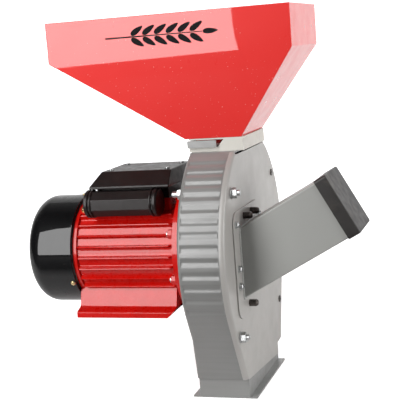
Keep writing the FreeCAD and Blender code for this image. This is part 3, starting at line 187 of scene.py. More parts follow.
DUST = (0.16, 0.13, 0.1)
FLECK = (0.8, 0.76, 0.7)
ALONG_X = (0.04, 1, 1)
M = {
    "hopper_red": surface(
        "hopper_red", (0.74, 0.034, 0.030), 0.35, coat=1.0, coat_rough=0.02, dark=0.96, mottle=7,
        grain=300, bump=0.03, depth=0.04, specks=0.3, spec=0.1,
    ),
    "chamber_grey": surface(
        "chamber_grey", (0.215, 0.215, 0.209), 0.40, coat=0.45, coat_rough=0.16, dark=0.93,
        mottle=14, grain=700, bump=0.14, depth=0.08, streak=(230, ALONG_X, 0.10, 0.35),
    ),
    "cover_grey": surface(
        "cover_grey", (0.355, 0.342, 0.325), 0.38, coat=0.3, coat_rough=0.25, dark=0.94, mottle=8,
        grain=700, bump=0.12, depth=0.08, grime=0.06,
    ),
    "chute_grey": surface(
        "chute_grey", (0.31, 0.312, 0.297), 0.42, coat=0.25, coat_rough=0.25, dark=0.93, mottle=10,
        grain=700, bump=0.12, depth=0.08, grime=0.08,
    ),
    "collar_white": surface(
        "collar_white", (0.58, 0.56, 0.51), 0.42, dark=0.92, mottle=30, grain=500, bump=0.3,
        depth=0.12, grime=0.12,
    ),
    "motor_red": surface(
        "motor_red", (0.62, 0.006, 0.003), 0.30, coat=0.6, coat_rough=0.06, dark=0.82, mottle=35,
        grain=260, bump=0.22, depth=0.30, grime=0.04, spec=0.15,
    ),
    "cowl_black": surface(
        "cowl_black", (0.0045, 0.0045, 0.005), 0.4, coat=0.78, coat_rough=0.03, dark=0.8, mottle=12,
        grain=300, bump=0.03, depth=0.04, specks=0.04, spec=0.05,
    ),
    "box_black": surface(
        "box_black", (0.015, 0.0105, 0.0100), 0.38, coat=0.09, coat_rough=0.2, spec=0.28, dark=0.8,
        mottle=20, grain=1300, bump=0.25, depth=0.05, grime=0.03,
    ),
    "cap_black": surface(
        "cap_black", (0.017, 0.0145, 0.0135), 0.44, dark=0.85, mottle=18, grain=1100, bump=0.25,
        depth=0.08, grime=0.25,
    ),
    "zinc_bright": surface(
        "zinc_bright", (0.52, 0.53, 0.53), 0.34, metal=1.0, mottle=160, grain=1500, bump=0.15,
        depth=0.03, dark=0.86,
    ),
    "zinc_yellow": surface(
        "zinc_yellow", (0.80, 0.62, 0.32), 0.3, metal=1.0, mottle=200, grain=1500, bump=0.15,
        depth=0.03, dark=0.72,
    ),
    "black_oxide": surface(
        "black_oxide", (0.10, 0.086, 0.078), 0.30, metal=0.8, mottle=150, grain=1200, bump=0.2,
        depth=0.03, dark=0.6,
    ),
    "plain_steel": surface(
        "plain_steel", (0.52, 0.51, 0.49), 0.34, metal=1.0, mottle=60, grain=1500, bump=0.15,
        depth=0.03, streak=(900, (1, 0.03, 0.03), 0.15, 0.2), dark=0.8,
    ),
    "hardened_steel": surface(
        "hardened_steel", (0.30, 0.29, 0.30), 0.38, metal=1.0, mottle=50, grain=700, bump=0.3,
        depth=0.06, grime=0.3, dark=0.7,
    ),
    "sieve_steel": surface(
        "sieve_steel", (0.55, 0.56, 0.57), 0.36, metal=1.0, mottle=45, grain=500, bump=0.2,
        depth=0.05, dark=0.75,
    ),
    "lamination": surface(
        "lamination", (0.28, 0.28, 0.30), 0.45, metal=0.9, mottle=60, grain=900, bump=0.2,
        streak=(2000, (1, 0.02, 0.02), 0.5, 0.8),
    ),
    "copper": surface(
        "copper", (0.62, 0.20, 0.07), 0.35, metal=0.8, coat=0.6, mottle=90, grain=600, bump=0.4,
        depth=0.2, streak=(900, (0.1, 1, 1), 0.5, 0.9), dark=0.6,
    ),
    "cast_aluminium": surface(
        "cast_aluminium", (0.56, 0.56, 0.55), 0.5, metal=0.9, mottle=50, grain=420, bump=0.5,
        depth=0.2, dark=0.82,
    ),
    "seal_rubber": surface(
        "seal_rubber", (0.02, 0.02, 0.02), 0.6, mottle=60, grain=1400, bump=0.3,
    ),
    "fan_plastic": surface(
        "fan_plastic", (0.03, 0.03, 0.032), 0.45, mottle=30, grain=1200, bump=0.2,
    ),
    "capacitor_white": surface(
        "capacitor_white", (0.62, 0.62, 0.6), 0.4, mottle=30, grain=1200, bump=0.1,
    ),
    "block_ivory": surface(
        "block_ivory", (0.6, 0.52, 0.36), 0.42, mottle=40, grain=1000, bump=0.15,
    ),
    "rocker_green": surface(
        "rocker_green", (0.02, 0.30, 0.06), 0.35, mottle=40, grain=900, bump=0.1,
    ),
}
INK = surface("ear_ink", (0.010, 0.009, 0.010), 0.7, mottle=40, grain=900, bump=0.05, spec=0.1)


# ---- meshes ------------------------------------------------------------------------------------
MERGE = 0.01        # points nearer than this are one point
CAD_MERGE = 0.005
class Shape:
    """Vertices and faces collected in millimetres."""

    def __init__(self):
        self.verts, self.faces = [], []

    def add(self, verts, faces):
        base = len(self.verts)
        self.verts += [tuple(v) for v in verts]
        self.faces += [tuple(base + i for i in f) for f in faces]
        return self

    def rows(self, rows, around=False, cap=False, skip=None):
        """Quads between rows of points; around closes each row into a ring."""
        n = len(rows[0])
        faces = []
        for j in range(len(rows) - 1):
            for i in range(n if around else n - 1):
                k = (i + 1) % n
                if not (skip and skip(j, i)):
                    faces.append((j * n + i, j * n + k, (j + 1) * n + k, (j + 1) * n + i))
        if cap:
            faces += [tuple(range(n))[::-1], tuple((len(rows) - 1) * n + i for i in range(n))]
        return self.add([p for row in rows for p in row], faces)

    def prism(self, outline, shift):
        """A closed prism over a loop of points."""
        moved = [tuple(Vector(p) + Vector(shift)) for p in outline]
        return self.rows([outline, moved], around=True, cap=True)

    def block(self, x, y, z):
        corners = [(x[0], y[0], z[0]), (x[1], y[0], z[0]), (x[1], y[1], z[0]), (x[0], y[1], z[0])]
        return self.prism(corners, (0, 0, z[1] - z[0]))

    def lathe(self, profile, at, axis, sides=32, closed=False):
        """Turns (along, radius) points about an axis; closed joins the last point to the first."""
        frame_axes = Vector(axis).normalized().to_track_quat("Z", "Y").to_matrix()
        ring = [(math.cos(math.tau * k / sides), math.sin(math.tau * k / sides)) for k in range(sides)]
        rows = []
        for a, r in profile:
            rows.append([Vector(at) + frame_axes @ Vector((c * r, s * r, a)) for c, s in ring])
        if closed:
            rows.append(rows[0])
        return self.rows(rows, around=True, cap=not closed)

    def sheet(self, loops, place, folds=()):
        """A flat face with holes from closed loops of 2-D points, and folds as extra lines across it."""
        points, edges = [], []
        for loop in loops:
            base = len(points)
            points += [Vector(p) for p in loop]
            edges += [(base + i, base + (i + 1) % len(loop)) for i in range(len(loop))]
        for line in folds:
            base = len(points)
            points += [Vector(p) for p in line]
            edges.append((base, base + 1))
        out, _, faces, _, _, _ = delaunay_2d_cdt(points, edges, [], 4, 1e-5)
        return self.add([place(p[0], p[1]) for p in out], faces)

    def piece(
        self, name, body, slot, nodes=(), bevel=0.0, steps=2, angle=32, wall=0.0, inside=None, material=None,
    ):
        """Makes the object, in metres, and puts it on its body. With a wall, faces turn away from inside."""
        me = bpy.data.meshes.new(name)
        me.from_pydata([[c * MM for c in v] for v in self.verts], [], self.faces)
        bm = bmesh.new()
        bm.from_mesh(me)
        bmesh.ops.remove_doubles(bm, verts=bm.verts, dist=MERGE * MM)
        bmesh.ops.recalc_face_normals(bm, faces=bm.faces)
        if inside is not None:
            centre = Vector(inside) * MM
            facing = sum(f.calc_area() * f.normal.dot(f.calc_center_median() - centre) for f in bm.faces)
            if facing < 0:
                bmesh.ops.reverse_faces(bm, faces=bm.faces)
        bm.to_mesh(me)
        bm.free()
        me.polygons.foreach_set("use_smooth", [True] * len(me.polygons))
        ob = bpy.data.objects.new(name, me)
        bpy.context.scene.collection.objects.link(ob)
        if wall:
            solid = ob.modifiers.new("wall", "SOLIDIFY")
            solid.thickness = wall * MM
            solid.offset = -1
            solid.use_even_offset = True
        finish_edges(ob, bevel, steps, angle)
        me.materials.append(material or M[slot])
        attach(ob, body)
        if nodes:
            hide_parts(*nodes)
        return ob


def finish_edges(ob, bevel, steps, angle):
    """Rounds the edges that are sharper than an angle, or keeps them sharp where there is no bevel."""
    if bevel:
        edge = ob.modifiers.new("edges", "BEVEL")
        edge.width = bevel * MM
        edge.segments = steps
        edge.limit_method = "ANGLE"
        edge.angle_limit = math.radians(angle)
        edge.miter_outer = "MITER_ARC"
    shade = ob.modifiers.new("shade", "WEIGHTED_NORMAL")
    shade.keep_sharp = True
    if not bevel:
        ob.data.set_sharp_from_angle(angle=math.radians(angle))


def keep(node, slot, bevel=0.0):
    """A CAD node stays, with its finish and, where it helps, softened edges."""
    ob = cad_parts[node]
    ob.data.materials.clear()
    ob.data.materials.append(M[slot])
    if bevel:
        weld = ob.modifiers.new("weld", "WELD")
        weld.merge_threshold = CAD_MERGE * MM
        edge = ob.modifiers.new("edges", "BEVEL")
        edge.width = bevel * MM
        edge.segments = 2
        edge.limit_method = "ANGLE"
        edge.angle_limit = math.radians(40)
        ob.modifiers.new("shade", "WEIGHTED_NORMAL")


def polar(angle, r):
    """The two coordinates of a point at an angle in degrees."""
    return r * math.cos(math.radians(angle)), r * math.sin(math.radians(angle))


def circle(y, z, r, n):
    return [(y + r * math.cos(math.tau * k / n), z + r * math.sin(math.tau * k / n)) for k in range(n)]


def arc_loop(x, y, r, steps=6):
    """A rectangle with rounded corners as a loop of 2-D points."""
    loop = []
    corners = (
        (x[1] - r, y[1] - r, 0), (x[0] + r, y[1] - r, 90),
        (x[0] + r, y[0] + r, 180), (x[1] - r, y[0] + r, 270),
    )
    for cx, cy, start in corners:
        for k in range(steps + 1):
            dx, dy = polar(start + 90 * k / steps, r)
            loop.append((cx + dx, cy + dy))
    return loop


ON_FLAT = 999.0     # stands for the angle where the drum's side is flat
FLAT_STEPS = 24


def drum_side(side, grow, foot_z, step):
    """(y, z, angle from the top, outward y, outward z) from the flat top down one side to the foot."""
    r = DRUM_R + grow
    foot_y = (NEAR_FOOT_Y if side < 0 else FAR_FOOT_Y) + side * grow
    drop = SKIRT_Z - AXIS_Z
    reach = math.hypot(foot_y, drop)
    lean = math.asin(r / reach) - math.atan2(abs(foot_y), -drop)
    end = 90 + math.degrees(lean)
    start = math.degrees(math.acos((DRUM_TOP - AXIS_Z) / r))
    count = int((end - start) / step)
    out = []
    for k in range(count + 1):
        a = start + (end - start) * k / count
        s, c = math.sin(math.radians(a)), math.cos(math.radians(a))
        out.append((side * r * s, AXIS_Z + r * c, a, side * s, c))
    y1, z1, _, ny, nz = out[-1]
    foot_y += side * math.tan(lean) * (foot_z - SKIRT_Z)
    for k in range(1, FLAT_STEPS + 1):
        t = k / FLAT_STEPS
        out.append((y1 + (foot_y - y1) * t, z1 + (foot_z - z1) * t, ON_FLAT, ny, nz))
    return out


def soft_step(x):
    x = min(1.0, max(0.0, x))
    return x * x * (3 - 2 * x)


def flute(side, angle, x):
    """How far the drum's skin is pressed in at an angle from the top."""
    count = 11 if side > 0 else 13
    ramp = 2.2
    k = round((angle - FLUTE_FIRST) / FLUTE_PITCH)
    if angle == ON_FLAT or not 0 <= k < count:
        return 0.0
    off = abs(angle - FLUTE_FIRST - FLUTE_PITCH * k) * math.radians(1) * DRUM_R
    across = 0.5 + 0.5 * math.cos(math.pi * min(1.0, off / FLUTE_HALF))
    along = soft_step(min(x - FLUTE_X[0], FLUTE_X[1] - x) / ramp)
    return FLUTE_DEPTH * across * along


def back_x(z):
    """The back wall leans out towards the discharge."""
    return min(DRUM_BACK, DRUM_BACK + 1 - (LEAN_FROM_Z - z) * LEAN)


def chamber():
    """The drum: a fluted skin with its back wall, the flat top under the hopper, and the stud pillars."""
    skin = Shape()
    bend = 4.0
    rim = []
    ends = [0.55 * k for k in range(5)]
    stations = [FLUTE_X[0] + e for e in ends] + [-20, -12, -4, 4, 12, 20]
    stations += [FLUTE_X[1] - e for e in reversed(ends)] + [30.0, 32.0, DRUM_FRONT]
    for side in (-1, 1):
        rows = []
        for y, z, angle, ny, nz in drum_side(side, 0, SKIRT_Z, 0.32):
            x0 = back_x(z)
            row = []
            for k in range(5):
                a = math.radians(90 * k / 4)
                inward = bend * (1 - math.sin(a))
                row.append((x0 + bend * (1 - math.cos(a)), y - ny * inward, z - nz * inward))
            for station in stations:
                x = max(station, x0 + bend)
                d = flute(side, angle, x)
                row.append((x, y - ny * d, z - nz * d))
            rows.append(row)
        skin.rows(rows)
        rim.append([(row[0][1], row[0][2]) for row in rows])
    near, far = rim
    holes = [circle(0, AXIS_Z, SHAFT_HOLE_R, 48)]
    for k in range(8):
        y, z = polar(22.5 + 45 * k, BOLT_CIRCLE_R)
        holes.append(circle(y, AXIS_Z + z, BOLT_HOLE_R, 14))
    fold = ((-120, 94.0), (130, 94.0))
    skin.sheet([near[::-1] + far] + holes, lambda y, z: (back_x(z), y, z), [fold])
    skin.piece("drum", "mill", "chamber_grey", ["chamber_shell"], wall=DRUM_WALL, inside=(0, 0, AXIS_Z),
               bevel=0.5, angle=50)
    lid = Shape()
    half = math.sqrt(DRUM_R**2 - (DRUM_TOP - AXIS_Z) ** 2)
    mouth = [(-27, -46), (4.5, -46), (4.5, 46), (-27, 46)]
    back = DRUM_BACK + 0.3
    edge = [(back, -half), (DRUM_FRONT, -half), (DRUM_FRONT, half), (back, half)]
    lid.sheet([edge, mouth], lambda x, y: (x, y, DRUM_TOP))
    lid.piece("drum_top", "mill", "chamber_grey", wall=DRUM_WALL, inside=(0, 0, AXIS_Z), bevel=0.5)
    bosses = Shape()
    profile = [
        (DRUM_BACK + DRUM_WALL, 7.5), (DRUM_BACK + 5, 6.5), (DRUM_FRONT - 1, 6.2),
        (DRUM_FRONT, 5.4), (DRUM_FRONT, 4.05), (DRUM_FRONT - 20, 4.05),
    ]
    for y, z in PILLARS:
        bosses.lathe(profile, (0, y, z), (1, 0, 0), 24)
    bosses.piece("drum_bosses", "mill", "chamber_grey", bevel=0.3)


def cover():
    """The cover's pan: a rounded lip over the drum's edge, and a lower edge that slants over the sleeve."""
    pan = Shape()
    grow = 3.1
    bend = 4.6
    rim = []
    base = SKIRT_Z + 0.6
    for side in (-1, 1):
        rows = []
        for y, z, _, ny, nz in drum_side(side, grow, base, 1.6):
            row = [(COVER_BACK, y, z), (31.4, y, z)]
            for k in range(7):
                a = math.radians(90 * k / 6)
                inward = bend * (1 - math.cos(a))
                row.append((COVER_FACE - bend + bend * math.sin(a), y - ny * inward, z - nz * inward))
            rows.append(row)
        pan.rows(rows)
        rim.append([(row[-1][1], row[-1][2]) for row in rows])
    near, far = rim
    mouth = arc_loop((CHUTE_Y[0] + 2, CHUTE_Y[1] - 2), (147.2, 240.0), 2, 2)
    holes = [mouth] + [circle(y, z, 4.4, 18) for y, z in PILLARS]

    def dish(y, z):
        """The face steps back a little below a slanting line."""
        return (COVER_FACE - 0.3 * soft_step((71 - 0.2 * (y + 104) - z) / 7), y, z)

    folds = [((-105, 72.0), (112, 28.8)), ((-101, 65.0), (86, 28.8))]
    foot = [(COVER_FOOT_Y, base), (COVER_FOOT_Y, COVER_FOOT_Z[1]), (-COVER_FOOT_Y, COVER_FOOT_Z[0])]
    pan.sheet([near[::-1] + far + foot] + holes, dish, folds)
    pan.piece("cover_pan", "cover", "cover_grey", ["cover"], wall=COVER_WALL, inside=(0, 0, AXIS_Z),
              bevel=0.4, angle=50)


def rectangle(x0, x1, y, z):
    return [(x0, -y, z), (x1, -y, z), (x1, y, z), (x0, y, z)]


def hopper():
    """Folded sheet: four sloping faces, an upright band with a folded rim, and a skirt into the collar."""
    def ring(z, inset, flare=1.0):
        t = min(1.0, (z - NECK_Z) / (BAND_Z - NECK_Z))
        x0 = NECK_X[0] + (RIM_X[0] - NECK_X[0]) * t + inset * flare
        x1 = NECK_X[1] + (RIM_X[1] - NECK_X[1]) * t - inset * flare
        return rectangle(x0, x1, NECK_Y + (RIM_Y - NECK_Y) * t - inset, z)

    floor_z = NECK_Z + SHEET
    rows = [
        ring(NECK_Z, 0), ring(BAND_Z, 0), ring(RIM_Z, 0), ring(RIM_Z, 2 * SHEET), ring(RIM_Z - 12, 2 * SHEET),
        ring(RIM_Z - 13, SHEET), ring(BAND_Z + 0.5, SHEET), ring(floor_z, SHEET, 1.6),
        rectangle(*MOUTH_X, MOUTH_Y, floor_z), rectangle(*MOUTH_X, MOUTH_Y, NECK_Z), ring(NECK_Z, 0),
    ]
    body = Shape().rows(rows, around=True)
    for y in (-MOUTH_Y - SHEET, MOUTH_Y):
        x0, x1 = MOUTH_X
        body.prism([(x0, y, 366), (x1, y, 366), (9, y, 357), (x0, y, 357)], (0, SHEET, 0))
    body.piece("hopper_shell", "mill", "hopper_red", ["hopper"], bevel=1.3, steps=3, angle=20)
    weld = Shape()
    beads = 60
    for side_x, x_low, x_high in ((-1, NECK_X[0], RIM_X[0]), (1, NECK_X[1], RIM_X[1])):
        for side_y in (-1, 1):
            a = Vector((x_low - side_x * 1.9, side_y * (NECK_Y - 1.7), 369))
            b = Vector((x_high - side_x * 2.2, side_y * (RIM_Y - 2.2), 482))
            rows = []
            for k in range(beads):
                r = 1.5 + 0.35 * math.sin(k * 1.9)
                centre = a.lerp(b, k / (beads - 1))
                turns = (0, 1.05, 2.1, 3.14, 4.2, 5.24)
                rows.append([centre + Vector((r * math.cos(q), r * math.sin(q), 0)) for q in turns])
            weld.rows(rows, around=True, cap=True)
    weld.piece("hopper_inner_welds", "mill", "hopper_red", angle=80)


def grain_ear():
    """A plain ear of grain where the hopper's front carries its mark."""
    ear = Shape()
    ink = (0, 0.2, 0)

    def leaf(x, z, length, width, angle):
        c, s = math.cos(math.radians(angle)), math.sin(math.radians(angle))
        loop = []
        for k in range(24):
            t = math.tau * k / 24
            u = length * (0.5 + 0.5 * math.cos(t))
            v = width * 0.5 * math.sin(t) * (1 - 0.35 * math.cos(t))
            loop.append((x + u * c - v * s, MARK_Y, z + u * s + v * c))
        ear.prism(loop, ink)

    for k in range(6):
        for side in (-1, 1):
            leaf(MARK_X + 17 * k, MARK_Z + side * 2.4, 21, 7.6, side * 32)
    leaf(MARK_X + 103, MARK_Z, 21, 7.0, 0)
    tail, tip = MARK_X - 38, MARK_X + 102
    stalk = [(tail, -1.1), (tip, -0.5), (tip, 0.5), (tail, 1.1)]
    ear.prism([(x, MARK_Y, MARK_Z + z) for x, z in stalk], ink)
    ear.piece("grain_ear_mark", "mill", None, material=INK)


def motor():
    """Finned barrel with its end rings, the feet, the pad under the terminal box and the earth boss."""
    angles = [FIN_FIRST + FIN_STEP * k for k in range(FIN_COUNT)]
    angles = [a for a in angles if not FIN_GAP[0] < a < FIN_GAP[1]]
    fin_profile = [
        (-FIN_ROOT, 0), (-2.2, 0.5), (-1.6, 2.0), (-1.35, 6.4), (-0.9, 7.6), (0, 8.0),
        (0.9, 7.6), (1.35, 6.4), (1.6, 2.0), (2.2, 0.5), (FIN_ROOT, 0),
    ]
    # along the shaft, height of the end ring, share of the fins' height
    stations = [
        (-221, 3.0, 0), (-220.2, 3.9, 0), (-214.6, 3.9, 0), (-214, 3.0, 0), (-213.7, 0.2, 0.1),
        (-213.0, 0, 0.55), (-211.8, 0, 0.93), (-210.0, 0, 1), (-160, 0, 1), (-120, 0, 1),
        (-72, 0, 1), (-70.4, 0, 0.93), (-69.0, 0, 0.55), (-67.4, 0.2, 0.1), (-67, 3.0, 0),
        (-66.4, 3.9, 0), (-60.8, 3.9, 0), (-60, 3.0, 0),
    ]
    root = math.degrees(FIN_ROOT / BARREL_R)
    rows = []
    for x, swell, fin in stations:
        row = []
        gap_start = SEAM_FROM
        for at in angles:
            gap_end = at - root
            steps = max(3, int((gap_end - gap_start) / 4))
            for k in range(steps):
                dy, dz = polar(gap_start + (gap_end - gap_start) * k / steps, BARREL_R + swell)
                row.append((x, dy, AXIS_Z + dz))
            for t, h in fin_profile:
                q = at + math.degrees(t / (BARREL_R + h * fin * 0.9))
                dy, dz = polar(q, BARREL_R + max(swell, h * fin))
                row.append((x, dy, AXIS_Z + dz))
            gap_start = at + root
        for k in range(24):
            dy, dz = polar(gap_start + (SEAM_TO - gap_start) * k / 24, BARREL_R + swell)
            row.append((x, dy, AXIS_Z + dz))
        rows.append(row)
    bore = []
    for row in (rows[0], rows[-1]):
        scaled = [(x, y, z, BARREL_BORE_R / math.hypot(y, z - AXIS_Z)) for x, y, z in row]
        bore.append([(x, y * k, AXIS_Z + (z - AXIS_Z) * k) for x, y, z, k in scaled])
    body = Shape().rows(rows + [bore[1], bore[0], rows[0]], around=True)
    body.piece("motor_barrel", "mill", "motor_red", ["motor_frame"], angle=40)
    base = Shape()
    side = [
        (56.5, 151), (62.6, 128), (64, 126), (76, 122), (78, 120), (78, FEET_Z), (50, FEET_Z),
        (47, 114.5), (46, 121), (43, 124),
    ]
    loop = [(-y, z) for y, z in side] + [(y, z) for y, z in reversed(side)]
    loop += [(52, 158), (-52, 158)]
    foot_top, foot_inner = 122.0, 43.0
    clipped = [(y, max(z, foot_top) if abs(y) > foot_inner else z) for y, z in loop]
    rows = [[(x, y, z) for y, z in outline] for x, outline in ((-221, loop), (-80.5, loop), (-70, clipped))]
    base.rows(rows, around=True, cap=True)
    base.piece("motor_feet_casting", "mill", "motor_red", bevel=1.2, steps=3, angle=18)
    pad = Shape().block((-190, -76), (-40, 40), (262, 281.2))
    pad.lathe([(-7, 6.5), (1.9, 6.5), (1.9, 2.4), (-6, 2.4)], EARTH_AT, EARTH_AXIS, 32)
    pad.piece("motor_pad", "mill", "motor_red", bevel=0.9, steps=3)


def cowl():
    """The fan's hood: a round shell whose back has rings of arc slots between bars."""
    shell = Shape()
    bend_x, bend_r = COWL_BACK + COWL_ROUND, COWL_R - COWL_ROUND
    profile = [(COWL_FRONT, COWL_R), (COWL_FRONT - 1.5, COWL_R), (-245, COWL_R), (bend_x, COWL_R)]
    for k in range(1, 9):
        a = math.radians(90 * k / 8)
        profile.append((bend_x - COWL_ROUND * math.sin(a), bend_r + COWL_ROUND * math.cos(a)))
    slots_from = len(profile)
    rings = (49, 44, 39, 34, 29, 24, 19, 14, 7)
    profile += [(COWL_BACK, r) for r in rings]
    rows = []
    for x, r in profile:
        points = [polar(360 * k / COWL_SIDES, r) for k in range(COWL_SIDES)]
        rows.append([(x, y, AXIS_Z + z) for y, z in points])
    bars = {0: 8, 2: 6, 4: 4, 6: 3}
    half_bar = 3.2

    def is_slot(j, i):
        band = j - slots_from
        if band not in bars:
            return False
        r = rings[band] - 2.5
        pitch = 360 / bars[band]
        angle = (360 * (i + 0.5) / COWL_SIDES + 90) % pitch
        off = min(angle, pitch - angle)
        return math.radians(off) * r > half_bar

    shell.rows(rows, around=True, skip=is_slot)
    shell.add(rows[-1], [tuple(range(COWL_SIDES))])
    shell.piece("cowl_shell", "mill", "cowl_black", ["fan_cowl"], wall=1.6, inside=(-250, 0, AXIS_Z),
                bevel=0.45, angle=50)


def terminal_lid():
    """A hollow lid whose sides slope in to a flat top."""
    rows = [
        rectangle(-188, -66, 68, 300), rectangle(-188, -66, 68, 303.4),
        rectangle(-175.8, -68, 47.8, 321.8), rectangle(-174.8, -68.4, 46.6, 323),
        rectangle(-171.5, -71, 44, 320.4), rectangle(-184.2, -69, 64.6, 302.4),
        rectangle(-185, -69, 65, 300), rectangle(-188, -66, 68, 300),
    ]
    lid = Shape().rows(rows[:4], around=True)
    lid.add(rows[3], [(0, 1, 2, 3)])
    lid.rows(rows[4:], around=True)
    lid.add(rows[4], [(0, 1, 2, 3)])
    lid.piece("box_lid", "mill", "box_black", ["terminal_lid"], bevel=1.4, steps=3, angle=14)


def capacitor_housing():
    """An eight-sided case with two rings at each end, held to the terminal box by a bracket."""
    corner = [polar(22.5 + 45 * k, CASE_R) for k in range(8)]
    body = Shape().prism([(-187, CASE_Y + a, CASE_Z + b) for a, b in corner], (99, 0, 0))
    profile = [
        (0, 15), (0.5, 18.2), (1.5, 19.0), (1.9, 20.0), (2.5, 20.5), (6.3, 20.5), (6.9, 20.0), (7.2, 18.2),
        (8.8, 18.2), (9.1, 20.0), (9.7, 20.5), (11.3, 20.5), (11.9, 20.0), (12.4, 17.4), (14, 16.8),
    ]
    for end, way in zip(CASE_X, (1, -1)):
        body.lathe([(end + way * a, q) for a, q in profile], (0, CASE_Y, CASE_Z), (1, 0, 0), 48)
    body.block((-180, -95), (-50, -41), (286, 299.4))
    body.piece("run_capacitor_case", "mill", "box_black", ["capacitor_housing"], bevel=0.5, angle=24)


def slope(along, up):
    """(x, z) of a point so far along the chute from its plate and so far above its underside."""
    x = PLATE_FACE + along * math.cos(CHUTE_ANGLE) - up * math.sin(CHUTE_ANGLE)
    return x, CHUTE_Z + along * math.sin(CHUTE_ANGLE) + up * math.cos(CHUTE_ANGLE)


def chute_ring(along, grow, radius, root=False):
    """A loop round the chute, square to it, or at its root in the plane of the plate."""
    ring = []
    for y, up in arc_loop((CHUTE_Y[0] - grow, CHUTE_Y[1] + grow), (-grow, CHUTE_H + grow), radius):
        start = up * math.tan(CHUTE_ANGLE) if root else along
        x, z = slope(start, up)
        ring.append((x, y, z))
    return ring


def chute():
    """The chute's tube and the weld where it meets its plate."""
    rows = [chute_ring(0, 0, 2.6, root=True)] + [chute_ring(a, 0, 2.6) for a in (60, 120, CHUTE_END)]
    tube = Shape().rows(rows, around=True)
    tube.piece("chute_tube", "cover", "chute_grey", ["chute"], wall=2.0, inside=slope_centre(),
               bevel=0.3, angle=60)
    bead = Shape()
    ring = chute_ring(0, 0.4, 3.0, root=True)
    dense = []
    spacing = 1.6
    turns = (-0.5, 0.2, 0.9, 1.6, 2.3, 3.3, 4.4)
    for a, b in zip(ring, ring[1:] + ring[:1]):
        count = max(1, int((Vector(b) - Vector(a)).length / spacing))
        dense += [Vector(a).lerp(Vector(b), k / count) for k in range(count)]
    rows = []
    for k, p in enumerate(dense):
        q = dense[(k + 1) % len(dense)]
        run = (q - dense[k - 1]).normalized()
        out = run.cross(Vector((1, 0, 0))).normalized()
        r = 1.7 + 0.25 * math.sin(k * 2.2)
        rows.append([p + r * (Vector((math.cos(t), 0, 0)) + out * math.sin(t)) for t in turns])
    bead.rows(rows + [rows[0]], around=True)
    bead.piece("chute_weld", "cover", "chute_grey", angle=70)


def slope_centre():
    """A point inside the chute."""
    x, z = slope(100, CHUTE_H / 2)
    return x, sum(CHUTE_Y) / 2, z


def chute_cap():
    """A hollow cap over the chute's end, with a rounded edge."""
    end = CHUTE_END + 0.4
    grow, corner, edge = 1.85, 3.8, 1.6
    rows = [chute_ring(end - 15 + k, grow, corner) for k in (0, 1, 7, 13, 16.4)]
    for k in range(1, 5):
        a = math.radians(90 * k / 4)
        drop = 1 - math.cos(a)
        rows.append(chute_ring(end + 1.4 + edge * math.sin(a), grow - edge * drop, corner - 1.2 * drop))
    cap = Shape().rows(rows, around=True)
    cap.add(rows[-1], [tuple(range(len(rows[-1])))])
    cap.piece("chute_end_cap", "chute_cap", "cap_black", ["chute_cap"], wall=1.5, inside=slope_centre(),
              bevel=0.3, angle=50)


def chute_plate():
    """The plate that carries the chute, with rounded corners and the chute's mouth."""
    plate = Shape()
    loop = arc_loop(PLATE_Y, PLATE_Z, 19, 12)
    z0, z1 = CHUTE_Z - 1 + 2.5, CHUTE_Z + CHUTE_H / math.cos(CHUTE_ANGLE) - 2
    mouth = arc_loop((CHUTE_Y[0] + 2, CHUTE_Y[1] - 2), (z0, z1), 2, 2)
    plate.sheet([loop, mouth], lambda y, z: (PLATE_FACE, y, z))
    plate.piece("chute_base_plate", "cover", "cover_grey", ["chute_plate"], wall=2.0,
                inside=(0, -48, 194), bevel=0.5, steps=3, angle=50)


def hex_nuts():
    """The near side's nuts, each a chamfered hexagon with a bore, on a round washer."""
    nuts = Shape()
    across, bore, turned = 13, 4.1, 20
    washer = [(0, bore), (0, 7.5), (0.35, 8.0), (1.15, 8.0), (1.5, 7.5), (1.5, bore)]

    def section(x, y, z, scale):
        """A ring of 24 points: a hexagon at a share of its size, or the round bore where scale is 0."""
        ring = []
        for k in range(24):
            r = scale * across / 2 / math.cos(math.radians((15 * k) % 60 - 30)) if scale else bore
            dy, dz = polar(15 * k + turned, r)
            ring.append((COVER_FACE + x, y + dy, z + dz))
        return ring

    for y, z in PILLARS[:2]:
        nuts.lathe(washer, (COVER_FACE, y, z), (1, 0, 0), 36, True)
        heights = ((1.5, 0), (1.5, 0.9), (2.1, 0.99), (7.7, 0.99), (8.5, 0.86), (8.5, 0))
        rows = [section(x, y, z, scale) for x, scale in heights]
        nuts.rows(rows + [rows[0]], around=True)
    nuts.piece("stud_nuts", "cover", "zinc_bright", ["cover_nuts"], bevel=0.25, steps=2, angle=30)


def hex_screw(shape, at, axis, washer, across, height, tip):
    """Washer, chamfered hexagon and, where tip gives its radius, the end of the thread."""
    rim = washer - 0.25
    profile = [(0, 1.5), (0, rim), (0.2, washer), (0.85, washer), (1.05, rim), (1.05, 1.5)]
    shape.lathe(profile, at, axis, 28, True)
    turn = Vector(axis).normalized().to_track_quat("Z", "Y").to_matrix()
    r = across / math.sqrt(3)
    rows = []
    for a, k in ((1.0, 0.96), (1.3, 1.0), (height - 0.5, 1.0), (height, 0.86)):
        corners = [polar(60 * i + 12, k * r) for i in range(6)]
        rows.append([Vector(at) + turn @ Vector((u, v, a)) for u, v in corners])
    shape.rows(rows, around=True, cap=True)
    if tip:
        profile = [(height - 0.5, tip)]
        for k in range(5):
            profile += [(height + 0.35 * k, tip), (height + 0.35 * k + 0.17, tip - 0.22)]
        shape.lathe(profile, at, axis, 20)


